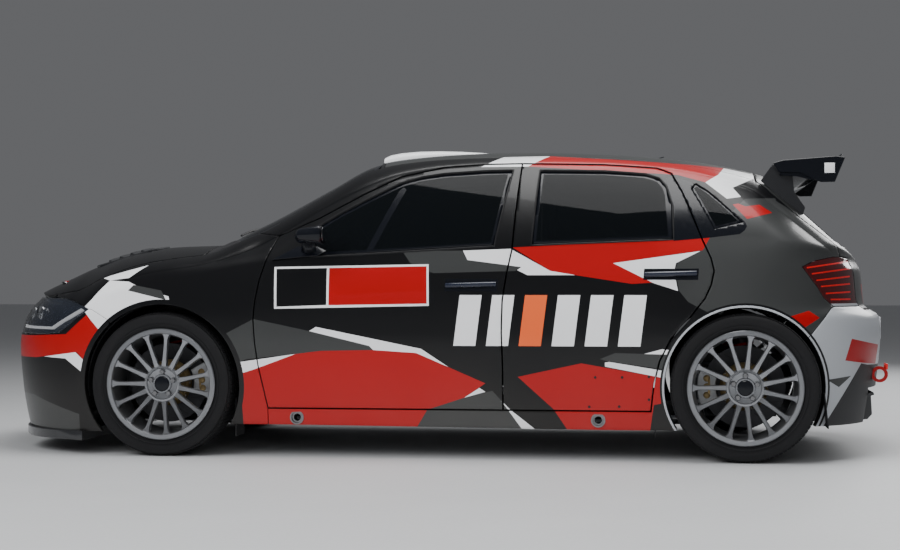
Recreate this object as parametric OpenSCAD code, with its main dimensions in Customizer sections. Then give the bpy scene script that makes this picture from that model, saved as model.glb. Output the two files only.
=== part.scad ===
// Tarmac rally hatchback: five doors, roof scoop, tailgate wing, full roll cage.
// +X points to the tail, -Y to the car's left side, +Z up. The origin is under the middle of the car.

/* [Overall] */
// Distance between the axles
wheelbase = 2548; // [2200:1:3050]
// Nose to front axle
front_overhang = 865; // [730:1:1040]
// Rear axle to tail
rear_overhang = 647; // [560:1:780]
// Width over the wheel arches
body_w = 1820; // [1530:1:2180]
// Height of the roof panel above the ground
roof_h = 1376; // [1300:1:1640]

/* [Wheels] */
// Tyre radius
tyre_r = 318; // [270:1:340]
// Tyre width
tyre_w = 235; // [200:1:245]
// Rim flange radius
rim_r = 246; // [215:1:262]
// Wheel centre plane from the car's middle
track_half = 790; // [750:1:800]
// Number of spokes in a wheel
spokes = 15; // [10:1:20]
// Front arch radius
front_arch_r = 352; // [345:1:380]
// Rear arch radius
rear_arch_r = 342; // [335:1:370]
// Brake disc radius
disc_r = 176; // [140:1:185]

/* [Panels] */
// Thickness of a door, pillar or side wall
wall_t = 55; // [46:1:66]
// Thickness of a door's outer layer, ahead of its narrower inner layer
skin_t = 16; // [12:1:20]
// Thickness of the bonnet
bonnet_t = 26; // [20:1:34]
// Thickness of the roof
roof_t = 34; // [24:1:44]
// Glass thickness
glass_t = 5; // [4:1:8]
// Depth of the glass below the panel face
glass_depth = 7; // [4:1:10]
// Gap round a door, bonnet or tailgate
shut_gap = 7; // [6:0.5:9]
// Gap between fixed panels
seam_gap = 3; // [1:0.5:4]
// How much narrower a door's inner layer is, all round
step_in = 17; // [14:1:22]

/* [Cabin] */
// Roll cage tube radius
cage_r = 20; // [16:1:23]
// Seat centre from the car's middle
seat_y = 365; // [330:1:400]
// Seat width
seat_w = 460; // [400:1:500]
// Steering wheel radius
steer_wheel_r = 165; // [140:1:185]

/* [Fittings] */
// Jack socket bore radius
jack_bore_r = 16; // [12:1:19]
// Tow eye hole radius
tow_bore_r = 22; // [17:1:26]
// Tow eye plate thickness
tow_t = 12; // [10:1:16]

/* [Hidden] */

black = [0.05, 0.05, 0.06];
slate = [0.27, 0.29, 0.33];
red = [0.75, 0.10, 0.13];
white = [0.88, 0.89, 0.90];
steel = [0.55, 0.56, 0.58];
clear = [0.25, 0.30, 0.34, 0.45];

// ---- Where the design's own places go when a driving size changes --------------------------------
// The tables and outlines below are written for this car; these carry them to the size that is set.
design = [-1165, 1383, 865, 647, 910, 1376];
body_len = front_overhang + wheelbase + rear_overhang;
front_x = front_overhang - body_len / 2;
rear_x = front_x + wheelbase;
hub_z = tyre_r;
function fx(x) =
    x < design[0] ? front_x + (x - design[0]) * front_overhang / design[2]
    : x > design[1] ? rear_x + (x - design[1]) * rear_overhang / design[3]
    : front_x + (x - design[0]) * wheelbase / (design[1] - design[0]);
function fy(y) = y * body_w / 2 / design[4];
function fz(z) = z * roof_h / design[5];
function at(p) = [fx(p[0]), fy(p[1]), fz(p[2])];
function side(points) = [for (p = points) [fx(p[0]), fz(p[1])]];
function plan(points) = [for (p = points) [fx(p[0]), fy(p[1])]];
function rear_view(points) = [for (p = points) [fy(p[0]), fz(p[1])]];
function both_sides(points) =
    concat(points, [for (i = [len(points) - 1:-1:0]) [-points[i][0], points[i][1]]]);
function both_flanks(points) =
    concat(points, [for (i = [len(points) - 1:-1:0]) [points[i][0], -points[i][1]]]);

// ---- Smooth curve through a table of [place, value] rows, with no overshoot ----------------------
function span_at(t, k, i = 0) = (i >= len(k) - 2 || t < k[i + 1][0]) ? i : span_at(t, k, i + 1);
function rise(k, i) = (k[i + 1][1] - k[i][1]) / (k[i + 1][0] - k[i][0]);
function slope(k, i) =
    i == 0 ? rise(k, 0)
    : i == len(k) - 1 ? rise(k, i - 1)
    : rise(k, i - 1) * rise(k, i) <= 0 ? 0
    : 2 * rise(k, i - 1) * rise(k, i) / (rise(k, i - 1) + rise(k, i));
function curve(t, k) =
    let (
        i = span_at(t, k),
        h = k[i + 1][0] - k[i][0],
        u = min(1, max(0, (t - k[i][0]) / h)),
        a = k[i][1], b = k[i + 1][1], p = slope(k, i) * h, q = slope(k, i + 1) * h
    )
    a + u * (p + u * (3 * (b - a) - 2 * p - q + u * (p + q - 2 * (b - a))));

// ---- The body's form: lines that run from nose to tail -------------------------------------------
// Height of the middle line
top_z = [
    [-2060, 610], [-1990, 668], [-1907, 715], [-1850, 752], [-1724, 814], [-1600, 868], [-1386, 925], [-1266, 940],
    [-1010, 949], [-1000, 951], [-842, 1036], [-700, 1112], [-482, 1230], [-290, 1331], [-150, 1354], [50, 1369],
    [250, 1376], [450, 1376], [736, 1367], [950, 1352], [1116, 1336], [1305, 1307], [1440, 1277], [1480, 1266],
    [1520, 1238], [1690, 1083], [1905, 872], [1960, 806], [2060, 700]
];
// Height and half width of the roof rail, and of the wing's top edge ahead of the screen
rail_z = [
    [-2060, 520], [-1800, 560], [-1600, 615], [-1443, 725], [-1278, 795], [-1165, 818], [-1000, 842], [-842, 888],
    [-735, 938], [-620, 1004], [-482, 1088], [-277, 1192], [-126, 1250], [71, 1282], [379, 1294], [783, 1286],
    [1054, 1264], [1172, 1244], [1287, 1215], [1440, 1158], [1520, 1096], [1658, 985], [1800, 862], [1905, 760], [2060, 640]
];
rail_y = [
    [-2060, 830], [-1600, 862], [-1443, 866], [-1165, 864], [-1000, 850], [-842, 806], [-735, 757], [-620, 735],
    [-482, 712], [-277, 680], [-126, 650], [71, 632], [379, 625], [783, 625], [1054, 628], [1287, 636],
    [1440, 640], [1520, 642], [1658, 668], [1800, 720], [1905, 760], [2060, 780]
];
// Height and half width of the shoulder under the side windows
belt_z = [
    [-2060, 505], [-1800, 535], [-1600, 590], [-1443, 690], [-1278, 748], [-1165, 768], [-1000, 800], [-842, 838],
    [-735, 857], [-258, 887], [308, 920], [1207, 952], [1383, 962], [1500, 948], [1658, 880], [1800, 790],
    [1905, 700], [2060, 610]
];
belt_y = [
    [-2060, 880], [-1800, 888], [-1443, 893], [-1165, 890], [-1000, 878], [-842, 864], [-735, 855], [-258, 850],
    [308, 850], [800, 848], [1207, 836], [1383, 826], [1500, 822], [1658, 822], [1905, 828], [2060, 832]
];
// Half width at the waist, the widest line, which swells over the wheels
waist_y = [
    [-2060, 902], [-1510, 908], [-1165, 910], [-830, 904], [-690, 888], [-400, 880], [0, 878], [400, 880], [800, 884],
    [960, 892], [1080, 905], [1383, 910], [1700, 906], [1900, 898], [2060, 890]
];
waist_z = [[-2060, 500], [-1600, 540], [-1165, 600], [-700, 600], [900, 600], [1383, 620], [1700, 600], [2060, 540]];
// Height and half width of the lower edge
sill_z = [[-2060, 134], [-1500, 142], [-780, 142], [980, 132], [1700, 150], [2060, 160]];
sill_y = [[-2060, 850], [-1500, 868], [-780, 852], [980, 852], [1700, 862], [2060, 845]];

// Lines round the car in plan: nose, tail and flank by height
nose_x = [[60, -1965], [140, -1990], [300, -2016], [477, -2030], [590, -2008], [660, -1960], [715, -1909], [800, -1907]];
tail_x = [
    [60, 1960], [150, 1985], [363, 2014], [554, 2030], [620, 2018], [648, 1975], [668, 1954], [821, 1938], [868, 1915],
    [900, 1912]
];
flank_y = [[60, 885], [350, 914], [600, 914], [700, 900], [900, 880]];
corner_x = 1250;
corner_power = 2.6;

stations = [
    -2050, -1960, -1880, -1780, -1660, -1520, -1330, -1140, -1010, -1000, -900, -780, -640, -482, -300, -140, 60,
    330, 620, 900, 1120, 1290, 1440, 1480, 1560, 1690, 1800, 1905, 2050
];
levels = [0, 60, 140, 300, 477, 560, 620, 650, 668, 715, 821, 868, 1500];

lower_n = 2;
upper_n = 2;
glass_n = 3;
crown_n = 5;
// Bows of the side glass and the crown
glass_bow = 0.45;
crown_up = 1.5;
crown_out = 2.8;

// One half of a cross-section, from the sill up to the middle of the roof, sunk by t
function half_section(x, t) =
    let (
        zs = curve(x, sill_z) - (t > 0 ? 200 : 0), ys = curve(x, sill_y) - t,
        zw = curve(x, waist_z), yw = curve(x, waist_y) - t,
        zb = curve(x, belt_z), yb = curve(x, belt_y) - t,
        zr = curve(x, rail_z) - t / 2, yr = curve(x, rail_y) - t,
        zt = curve(x, top_z) - t,
        zl = curve(x, sill_z)
    )
    concat(
        [[ys, zs]],
        [for (i = [0:lower_n - 1]) let (z = zl + (zw - zl) * i / lower_n)
            [yw - (yw - ys) * pow((zw - z) / (zw - zl), 2), z + (i == 0 ? 0.01 : 0)]],
        [for (i = [0:upper_n - 1]) let (u = i / upper_n) [yw - (yw - yb) * u * u, zw + (zb - zw) * u]],
        [for (i = [0:glass_n - 1]) let (u = i / glass_n)
            [yb - (yb - yr) * (glass_bow * u + (1 - glass_bow) * u * u), zb + (zr - zb) * u]],
        [for (i = [0:crown_n]) let (a = 90 * i / crown_n)
            [i == crown_n ? 0 : yr * pow(cos(a), 2 / crown_out), zr + (zt - zr) * pow(sin(a), 2 / crown_up)]]
    );
function ring_section(x, t) =
    let (h = half_section(x, t), n = len(h))
    concat(h, [for (i = [n - 2:-1:0]) [-h[i][0], h[i][1]]]);

corner_n = 7;
function quarter(z, t, end_x, sign) =
    let (w = curve(z, flank_y) - t, x0 = sign * corner_x, reach = (end_x - x0) - sign * t)
    [for (i = [0:corner_n]) let (a = 90 * i / corner_n)
        [x0 + reach * pow(sin(a), 2 / corner_power), i == corner_n ? 0 : w * pow(cos(a), 2 / corner_power)]];
function ring_plan(z, t) =
    let (
        f = quarter(z, t, curve(z, nose_x), -1), r = quarter(z, t, curve(z, tail_x), 1), n = corner_n
    )
    concat(
        f, [for (i = [n - 1:-1:0]) [f[i][0], -f[i][1]]],
        r == undef ? [] : [for (i = [0:n]) [r[i][0], -r[i][1]]],
        [for (i = [n - 1:-1:0]) r[i]]
    );

// Triangles of a tube of equal rings, closed at both ends
function tube_faces(rings, n) = concat(
    [for (j = [0:rings - 2], i = [0:n - 1], k = [0, 1])
        let (a = j * n + i, b = j * n + (i + 1) % n, c = a + n, d = b + n) k == 0 ? [d, b, a] : [c, d, a]],
    [[for (i = [0:n - 1]) i], [for (i = [n - 1:-1:0]) (rings - 1) * n + i]]
);

module long_form(t) {
    rings = [for (x = stations) ring_section(x, t)];
    n = len(rings[0]);
    points = [for (j = [0:len(stations) - 1], p = rings[j]) at([stations[j], p[0], p[1]])];
    polyhedron(points, tube_faces(len(stations), n));
}
module tall_form(t) {
    rings = [for (z = levels) ring_plan(z, t)];
    n = len(rings[0]);
    points = [for (j = [0:len(levels) - 1], p = rings[j]) at([p[0], p[1], levels[j]])];
    polyhedron(points, tube_faces(len(levels), n));
}
module form(t) intersection() {
    long_form(t);
    tall_form(t);
}
// The body's wall between two depths
module wall(a, b) difference() {
    form(a);
    form(b);
}
// A thin curved wall is worked out as one mesh
module one_mesh() resize([0, 0, 0]) children();

// Prisms that cut the wall along an outline: through the left side, from above and from behind
reach_y = body_w;
module left_prism(points, grow = 0) rotate([90, 0, 0]) linear_extrude(reach_y) offset(delta = grow) polygon(side(points));
module top_prism(points, grow = 0) linear_extrude(2 * roof_h) offset(delta = grow) polygon(plan(points));
module tail_prism(points, from_x, grow = 0)
    translate([fx(from_x), 0, 0]) rotate([90, 0, 90]) linear_extrude(body_len / 2) offset(delta = grow)
        polygon(rear_view(points));
module right_of() mirror([0, 1, 0]) children();
module pair() {
    children();
    mirror([0, 1, 0]) children();
}

// ---- Panel outlines ------------------------------------------------------------------------------
front_door_edge = [
    [-664, 975], [-690, 900], [-727, 777], [-750, 602], [-729, 400], [-689, 214], [350, 214], [350, 400], [348, 692],
    [388, 909], [415, 1297], [250, 1295], [71, 1283], [-126, 1240], [-277, 1165], [-482, 1052]
];
rear_door_edge = [
    [350, 214], [350, 400], [348, 692], [388, 909], [415, 1297], [783, 1289], [1010, 1272], [1075, 1246], [1125, 1150],
    [1207, 943], [1253, 815], [1215, 700], [1142, 606], [1070, 525], [1022, 430], [998, 330], [985, 214]
];
front_window_edge = [
    [-500, 882], [-545, 950], [-482.3, 1012], [-277, 1130], [-126, 1208], [71, 1251], [250, 1262], [374, 1264], [308, 926],
    [-258, 893]
];
rear_window_edge = [[474, 930], [498, 1262], [783, 1257], [960, 1242], [1040, 1208], [1076, 1100], [1080, 952]];
quarter_edge = [[1158, 1178], [1180, 1202], [1287, 1118], [1380, 1024], [1256, 994]];
// The windscreen and its opening, from above: one half
screen_edge = [[-283, 0], [-262, 300], [-240, 545], [-556, 622], [-850, 700], [-925, 580], [-970, 350], [-985, 0]];
roof_edge = [[-264, 0], [-245, 300], [-222, 545], [300, 556], [900, 556], [1440, 548], [1440, 0]];
bonnet_edge = [
    [-1008, 0], [-1008, 742], [-1278, 788], [-1440, 792], [-1583, 765], [-1690, 722], [-1790, 660], [-2060, 600], [-2060, 0]
];
cowl_edge = [[-1003, 0], [-1003, 738], [-862, 716], [-850, 703], [-926, 581], [-971, 351], [-986, 0]];
bonnet_low = [[-2060, 704], [-1600, 704], [-1560, 690], [-1008, 690], [-1008, 1200], [-2060, 1200]];
headlight_edge = [[-2060, 534], [-1827, 532], [-1648, 540], [-1573, 594], [-1500, 648], [-1635, 696], [-1779, 700], [-2060, 700]];
headlight_in_y = 440;
bumper_edge = [
    [-2060, 0], [-1400, 0], [-1400, 593], [-1408, 602], [-1484, 646], [-1500, 648], [-1573, 594], [-1648, 540], [-1827, 532],
    [-2060, 534]
];
fender_edge = [
    [-664, 975], [-690, 900], [-727, 777], [-750, 602], [-729, 400], [-689, 214], [-689, 0], [-1165, 0], [-1165, 330],
    [-1408, 602], [-1484, 646], [-1500, 648], [-1635, 696], [-1700, 704], [-1700, 1200], [-1008, 1200], [-860, 1000]
];
rear_bumper_edge = [[1500, 0], [1500, 500], [1640, 520], [1752, 655], [1765, 662], [2060, 664], [2060, 0]];
taillight_edge = [[1626, 832], [1677, 858], [1768, 877], [2060, 880], [2060, 664], [1765, 662], [1691, 747]];
taillight_in_y = 520;
tailgate_edge = [[0, 1330], [552, 1320], [566, 1200], [612, 1060], [628, 935], [606, 880], [520, 872], [520, 690], [480, 648], [0, 648]];
tailgate_x = 1444;
rear_window_view = [[0, 1228], [470, 1222], [500, 1180], [556, 1050], [572, 950], [540, 925], [0, 925]];

module arch_cuts() {
    for (a = [[front_x, front_arch_r], [rear_x, rear_arch_r]])
        translate([a[0], 0, hub_z]) rotate([90, 0, 0]) cylinder(h = 2 * reach_y, r = a[1], center = true, $fn = 72);
}

// ---- Fixed panels --------------------------------------------------------------------------------
module left_frame() intersection() {
    difference() {
        wall(0, wall_t);
        left_prism(front_door_edge, shut_gap / 2);
        left_prism(rear_door_edge, shut_gap / 2);
        left_prism(quarter_edge);
        left_prism(fender_edge, seam_gap / 2);
        left_prism([[-2060, 0], [-2060, 1200], [-1000, 1200], [-870, 940], [-689, 880], [-689, 0]], seam_gap / 2);
        left_prism(rear_bumper_edge, seam_gap / 2);
        left_prism(taillight_edge, seam_gap / 2);
        top_prism(both_flanks(screen_edge), seam_gap / 2);
        top_prism(both_flanks(roof_edge), seam_gap / 2);
        tail_prism(both_sides(tailgate_edge), tailgate_x - 4, shut_gap / 2);
        arch_cuts();
        for (p = jack_places) socket_at(p) cylinder(h = socket_len * 3, r = socket_r + 0.3, center = true);
    }
    left_prism([[-1000, 0], [-1000, 1400], [2060, 1400], [2060, 0]]);
    top_prism([[-2060, -60], [2060, -60], [2060, -1000], [-2060, -1000]]);
}
module left_side_frame() color(black) one_mesh() left_frame();
module right_side_frame() color(black) one_mesh() right_of() left_frame();

module front_fenders() color(white) one_mesh() pair() intersection() {
    difference() {
        wall(0, wall_t * 0.7);
        arch_cuts();
        top_prism(both_flanks(bonnet_edge), shut_gap / 2);
        top_prism(both_flanks(cowl_edge), seam_gap / 2);
        top_prism(both_flanks(screen_edge), seam_gap / 2);
        left_prism(headlight_edge, seam_gap / 2);
    }
    left_prism(fender_edge, -seam_gap / 2);
    top_prism([[-1700, -620], [-664, -620], [-664, -1000], [-1700, -1000]]);
}

module cowl_panel() color(black) one_mesh() intersection() {
    wall(0, roof_t);
    top_prism(both_flanks(cowl_edge), -seam_gap / 2);
    translate([fx(-1100), -reach_y, fz(780)]) cube([body_len, 2 * reach_y, roof_h]);
}

module roof_panel() color(black) one_mesh() intersection() {
    wall(0, roof_t);
    top_prism(both_flanks(roof_edge), -seam_gap / 2);
    translate([fx(-400), -reach_y, fz(1100)]) cube([body_len, 2 * reach_y, roof_h]);
}

module front_bumper() color(red) one_mesh() difference() {
    intersection() {
        wall(0, wall_t);
        union() {
            pair() left_prism(bumper_edge, -seam_gap / 2);
            translate([-body_len, -headlight_in_y + seam_gap, 0])
                cube([body_len + fx(-1700), 2 * (headlight_in_y - seam_gap), fz(704) - shut_gap]);
        }
    }
    arch_cuts();
    // Grille and the wide lower intake
    for (g = [[545, 650, 400], [215, 420, 520]])
        translate([-body_len, -fy(g[2]), fz(g[0])]) cube([body_len / 2, 2 * fy(g[2]), fz(g[1] - g[0])]);
    tow_slots();
}

splitter_z = 88;
splitter_t = 14;
module front_splitter() color(black) {
    edge = [for (i = [0:corner_n]) let (q = quarter(140, 0, -1998, -1)) q[i]];
    outline = concat(edge, [for (i = [corner_n - 1:-1:0]) [edge[i][0], -edge[i][1]]]);
    translate([0, 0, fz(splitter_z)]) linear_extrude(splitter_t) intersection() {
        polygon(plan(outline));
        polygon(plan([[-2060, -900], [-2060, 900], [-1530, 900], [-1530, -900]]));
    }
}

module rear_bumper() color(white) one_mesh() difference() {
    intersection() {
        wall(0, wall_t);
        pair() left_prism(rear_bumper_edge, -seam_gap / 2);
    }
    arch_cuts();
    tail_prism(both_sides([[0, 1400], [520, 1400], [520, 690], [480, 648], [0, 648]]), 1500, shut_gap / 2);
    translate([fx(1400), -fy(diffuser_y), -1]) cube([body_len, 2 * fy(diffuser_y), fz(diffuser_top) + 1]);
    tow_slots();
}

diffuser_y = 520;
diffuser_top = 300;
module rear_diffuser() color(black) {
    ramp = side([[1560, 150], [1960, 270], [1960, 284], [1560, 164]]);
    fin = side([[1640, 176], [1950, 270], [1950, 176], [1860, 150], [1700, 150]]);
    half = fy(diffuser_y) - seam_gap;
    translate([0, half, 0]) rotate([90, 0, 0]) linear_extrude(2 * half) polygon(ramp);
    for (k = [-2:2])
        translate([0, k * half / 2.4 + 3, 0]) rotate([90, 0, 0]) linear_extrude(6) polygon(fin);
}

housing_t = 6;
housing_in = 520;
housing_out = 826;
module half_ring(r, a0, a1) difference() {
    cylinder(h = fy(housing_out) - fy(housing_in), r = r, $fn = 72);
    translate([0, 0, -1]) cylinder(h = reach_y, r = r - housing_t, $fn = 72);
    translate([-2 * r, -2 * r - 60, -1]) cube([4 * r, 2 * r, reach_y]);
}
module wheel_housings() color(black) one_mesh() pair() intersection() {
    for (a = [[front_x, front_arch_r + housing_t + 1], [rear_x, rear_arch_r + housing_t + 1]])
        translate([a[0], -fy(housing_in), hub_z]) rotate([90, 0, 0]) half_ring(a[1]);
    form(wall_t + 3);
}

// ---- Glass and lights ----------------------------------------------------------------------------
module pane(depth = glass_depth) wall(depth, depth + glass_t);
module windscreen() color(clear) one_mesh() intersection() {
    pane();
    top_prism(both_flanks(screen_edge), -seam_gap / 2);
    translate([fx(-1100), -reach_y, fz(800)]) cube([body_len / 2, 2 * reach_y, roof_h]);
}
module quarter_windows() color(clear) one_mesh() pair() intersection() {
    pane();
    left_prism(quarter_edge, -0.5);
}
module headlights() color(clear) one_mesh() pair() intersection() {
    wall(0, wall_t);
    left_prism(headlight_edge, -seam_gap / 2);
    translate([-body_len, -reach_y, 0]) cube([body_len, reach_y - headlight_in_y, roof_h]);
}
module taillights() color(red) one_mesh() pair() difference() {
    intersection() {
        wall(0, wall_t);
        left_prism(taillight_edge, -seam_gap / 2);
    }
    tail_prism(both_sides(tailgate_edge), tailgate_x, shut_gap / 2);
}

// ---- Roof scoop ----------------------------------------------------------------------------------
scoop_w = 340;
module scoop_slice(x, z, w, h) translate([fx(x), 0, fz(z)]) cube([2, w, h], center = true);
module roof_scoop() color(black) one_mesh() difference() {
    hull() {
        scoop_slice(-275, 1344, scoop_w, 44);
        scoop_slice(-150, 1360, scoop_w * 0.98, 52);
        scoop_slice(-20, 1368, scoop_w * 0.92, 44);
        scoop_slice(250, 1372, scoop_w * 0.6, 22);
    }
    hull() {
        scoop_slice(-280, 1348, scoop_w - 24, 30);
        scoop_slice(-60, 1371, scoop_w - 60, 22);
    }
    form(0);
    right_of() form(0);
}

// ---- Roll cage -----------------------------------------------------------------------------------
// The cage moves in when the body's wall gets thicker than the drawn 55
function in_cage(p) = at(p) - [0, sign(p[1]) * max(0, wall_t - 55), 0];
module tube(a, b, r = cage_r) {
    p = in_cage(a);
    d = in_cage(b) - p;
    translate(p) rotate([0, acos(d[2] / norm(d)), atan2(d[1], d[0])]) cylinder(h = norm(d), r = r, $fn = 12);
}
module bend(a, r = cage_r) translate(in_cage(a)) sphere(r = r, $fn = 12);
cage_lines = [
    // Main hoop, front legs, roof rails, rear stays and door bars of the left half
    [[455, -690, 178], [455, -705, 860]], [[455, -705, 860], [470, -545, 1238]],
    [[-700, -690, 178], [-690, -690, 850]], [[-690, -690, 850], [-240, -536, 1199]],
    [[-240, -536, 1199], [470, -545, 1238]], [[470, -545, 1238], [1290, -480, 640]],
    [[-697, -690, 250], [455, -697, 560]], [[-692, -690, 600], [455, -692, 250]]
];
cage_cross = [
    [[470, -545, 1238], [470, 545, 1238]], [[-240, -536, 1199], [-240, 536, 1199]],
    [[455, -698, 560], [455, 698, 560]], [[457, -700, 640], [469, 545, 1225]], [[-240, -536, 1199], [470, 545, 1238]],
    [[1290, -480, 640], [1290, 480, 640]], [[470, -545, 1238], [1290, 480, 640]]
];
module roll_cage() color(white) one_mesh() {
    pair() for (l = cage_lines) {
        tube(l[0], l[1]);
        bend(l[1]);
    }
    for (l = cage_cross) tube(l[0], l[1]);
    pair() for (p = [[455, -690, 178], [-700, -690, 178]])
        translate(in_cage(p) - [60, 45, 0]) cube([120, 90, 6]);
}

// ---- Cabin ---------------------------------------------------------------------------------------
floor_z = 160;
floor_t = 12;
boot_z = 400;
module floor_pan() color(slate) one_mesh() {
    intersection() {
        form(wall_t + 4);
        difference() {
            union() {
                translate([fx(-790) - 4, -reach_y, fz(floor_z)]) cube([fx(985) - fx(-790) + 4, 2 * reach_y, floor_t]);
                translate([fx(-900) + 4, -fy(500), fz(floor_z)]) cube([fx(1195) - fx(-900) - 4, fy(1000), floor_t]);
                // Step up to the boot floor over the rear axle
                translate([fx(1183), -fy(500), fz(floor_z)]) cube([12, fy(1000), fz(boot_z) - fz(floor_z)]);
                translate([fx(1183), -fy(500), fz(boot_z)]) cube([fx(1900) - fx(1183), fy(1000), floor_t]);
                translate([fx(-900), -reach_y, fz(floor_z)]) cube([16, 2 * reach_y, fz(700)]);
            }
            top_prism([[-2060, 500], [-790, 500], [-790, 900], [-2060, 900]]);
            top_prism([[-2060, -500], [-790, -500], [-790, -900], [-2060, -900]]);
            pair() for (p = jack_places) translate([fx(p) - 34, -reach_y, 0]) cube([68, reach_y - fy(776), fz(300)]);
        }
    }
    // Chassis rails that carry the engine and the nose
    rail_x = fx(-1880) + max(0, wall_t - 55);
    pair() translate([rail_x, fy(430), fz(260)]) cube([fx(-900) - rail_x, 60, 90]);
}

wheel_x = -330;
wheel_z = 885;
column_tilt = 22;
module on_column() translate([fx(wheel_x), -seat_y, fz(wheel_z)]) rotate([0, 90 - column_tilt, 0]) children();
module dashboard() color(black) {
    half = fy(640);
    translate([0, half, 0]) rotate([90, 0, 0]) linear_extrude(2 * half)
        polygon(side([[-870, 700], [-870, 880], [-760, 905], [-560, 880], [-530, 850], [-545, 760], [-620, 700]]));
    on_column() translate([0, 0, -260]) cylinder(h = 234, r = 24, $fn = 32);
    translate([fx(-640), -60, fz(floor_z) + floor_t]) cube([240, 120, fz(705 - floor_z) - floor_t]);
}
module steering_wheel() color(black) on_column() {
    rotate_extrude($fn = 64) translate([steer_wheel_r, 0]) circle(r = 15, $fn = 24);
    translate([0, 0, -20]) cylinder(h = 28, r = 42, $fn = 40);
    for (a = [0, 120, 240]) rotate([0, 0, a]) translate([20, -14, -6]) cube([steer_wheel_r - 20, 28, 10]);
}

module seat_outline(w) polygon([
    [-190, 190], [-150, 330], [120, 300], [190, 330], [330, 900], [360, 1010], [400, 1005], [390, 880], [262, 300], [215, 205],
    [150, 190]
]);
module seat_side() polygon([
    [-190, 190], [-150, 330], [-60, 410], [60, 420], [150, 560], [230, 860], [290, 900], [400, 1005], [390, 880], [262, 300],
    [215, 205], [150, 190]
]);
module one_seat() {
    side_t = 30;
    translate([0, seat_w / 2 - side_t, 0]) rotate([90, 0, 0]) linear_extrude(seat_w - 2 * side_t)
        polygon([[-190, 215], [-150, 330], [110, 300], [190, 340], [335, 960], [400, 1005], [390, 880], [262, 300], [215, 215]]);
    for (y = [-1, 1]) translate([0, y * (seat_w - side_t) / 2 + side_t / 2, 0]) rotate([90, 0, 0])
        linear_extrude(side_t) seat_side();
    // Mounting rails down to the floor
    for (y = [-1, 1]) translate([-150, y * 150 - 10, floor_z + floor_t]) cube([320, 20, 220 - floor_z - floor_t]);
}
module bucket_seats() color(slate) pair() translate([fx(0), -seat_y, fz(floor_z) - floor_z]) one_seat();

// ---- Running gear --------------------------------------------------------------------------------
module engine() color(steel) difference() {
    translate([fx(-1480), -380, fz(235)]) cube([480, 760, 470]);
    for (y = [-390, 330]) translate([fx(-1480) - 1, y, fz(235) + 330]) cube([200, 60, 200]);
}

module at_wheel(x, outward) translate([x, 0, hub_z]) rotate([90, 0, 0]) translate([0, 0, outward]) children();
arm_in = 395;
strut_y = 598;
arm_end = 628;
module axle_side(x) {
    // Lower arms, damper and its tower top, spring seat
    for (dx = [-130, 130]) hull() {
        translate([x + dx, -arm_in + 10, hub_z - 130]) rotate([90, 0, 0]) cylinder(h = 20, r = 18, $fn = 24);
        translate([x + dx * 0.15, -arm_end + 20, hub_z - 130]) rotate([90, 0, 0]) cylinder(h = 20, r = 18, $fn = 24);
    }
    translate([x, -strut_y, hub_z - 60]) cylinder(h = 300, r = 26, $fn = 32);
    translate([x, -strut_y + 30, hub_z - 30]) cube([50, 60, 40], center = true);
    translate([x - 30, -arm_end + 20, hub_z - 148]) cube([60, 24, 130]);
}
module front_suspension() color(steel) {
    translate([front_x - 160, -arm_in, hub_z - 155]) cube([320, 2 * arm_in, 46]);
    pair() axle_side(front_x);
}
module rear_suspension() color(steel) {
    translate([rear_x - 160, -arm_in, hub_z - 155]) cube([320, 2 * arm_in, 46]);
    pair() axle_side(rear_x);
    pair() at_wheel(rear_x, track_half) {
        knuckle(180);
        translate([-30, -60, -track_half + arm_end - 8]) cube([60, 120, track_half - arm_end - 100]);
    }
}
// The plate stays under the subframe, and over the splitter
skid_z = min(fz(118), hub_z - 200 + max(0, fz(118) - 118));
module skid_plate() color(steel) translate([fx(-1720), -fy(400), skid_z]) cube([fx(-900) - fx(-1720), fy(800), 6]);

pipe_z = 122;
module exhaust() color(steel) {
    translate([fx(-880), 0, fz(pipe_z)]) rotate([0, 90, 0]) cylinder(h = fx(1150) - fx(-880), r = 30, $fn = 32);
    translate([fx(700), 0, fz(pipe_z)]) rotate([0, 90, 0]) cylinder(h = fx(1080) - fx(700), r = 34, $fn = 32);
}

// ---- Fastening points ----------------------------------------------------------------------------
tow_r = tow_bore_r + 14;
tow_places = [[-1972, 560, 300, -1], [1988, -470, 360, 1]];
tow_len = 150;
module tow_eye(p) translate([fx(p[0]), fy(p[1]), fz(p[2])]) difference() {
    union() {
        rotate([90, 0, 0]) cylinder(h = tow_t, r = tow_r, center = true, $fn = 64);
        translate([p[3] > 0 ? -tow_len : 0, -tow_t / 2, -18]) cube([tow_len, tow_t, 36]);
    }
    rotate([90, 0, 0]) cylinder(h = tow_t * 2, r = tow_bore_r, center = true, $fn = 64);
}
module tow_slots() for (p = tow_places)
    translate([fx(p[0]), fy(p[1]), fz(p[2])]) cube([2 * tow_len, tow_t + 8, 2 * tow_r + 8], center = true);
module tow_eyes() color(red) for (p = tow_places) tow_eye(p);

socket_r = 24;
socket_len = 60;
jack_places = [-560, 760];
jack_z = 174;
module socket_at(x) translate([fx(x), -fy(818), fz(jack_z)]) rotate([90, 0, 0]) children();
module jack_sockets() color(steel) pair() for (x = jack_places) socket_at(x) difference() {
    cylinder(h = socket_len, r = socket_r, center = true, $fn = 48);
    cylinder(h = socket_len * 2, r = jack_bore_r, center = true, $fn = 48);
}

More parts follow.
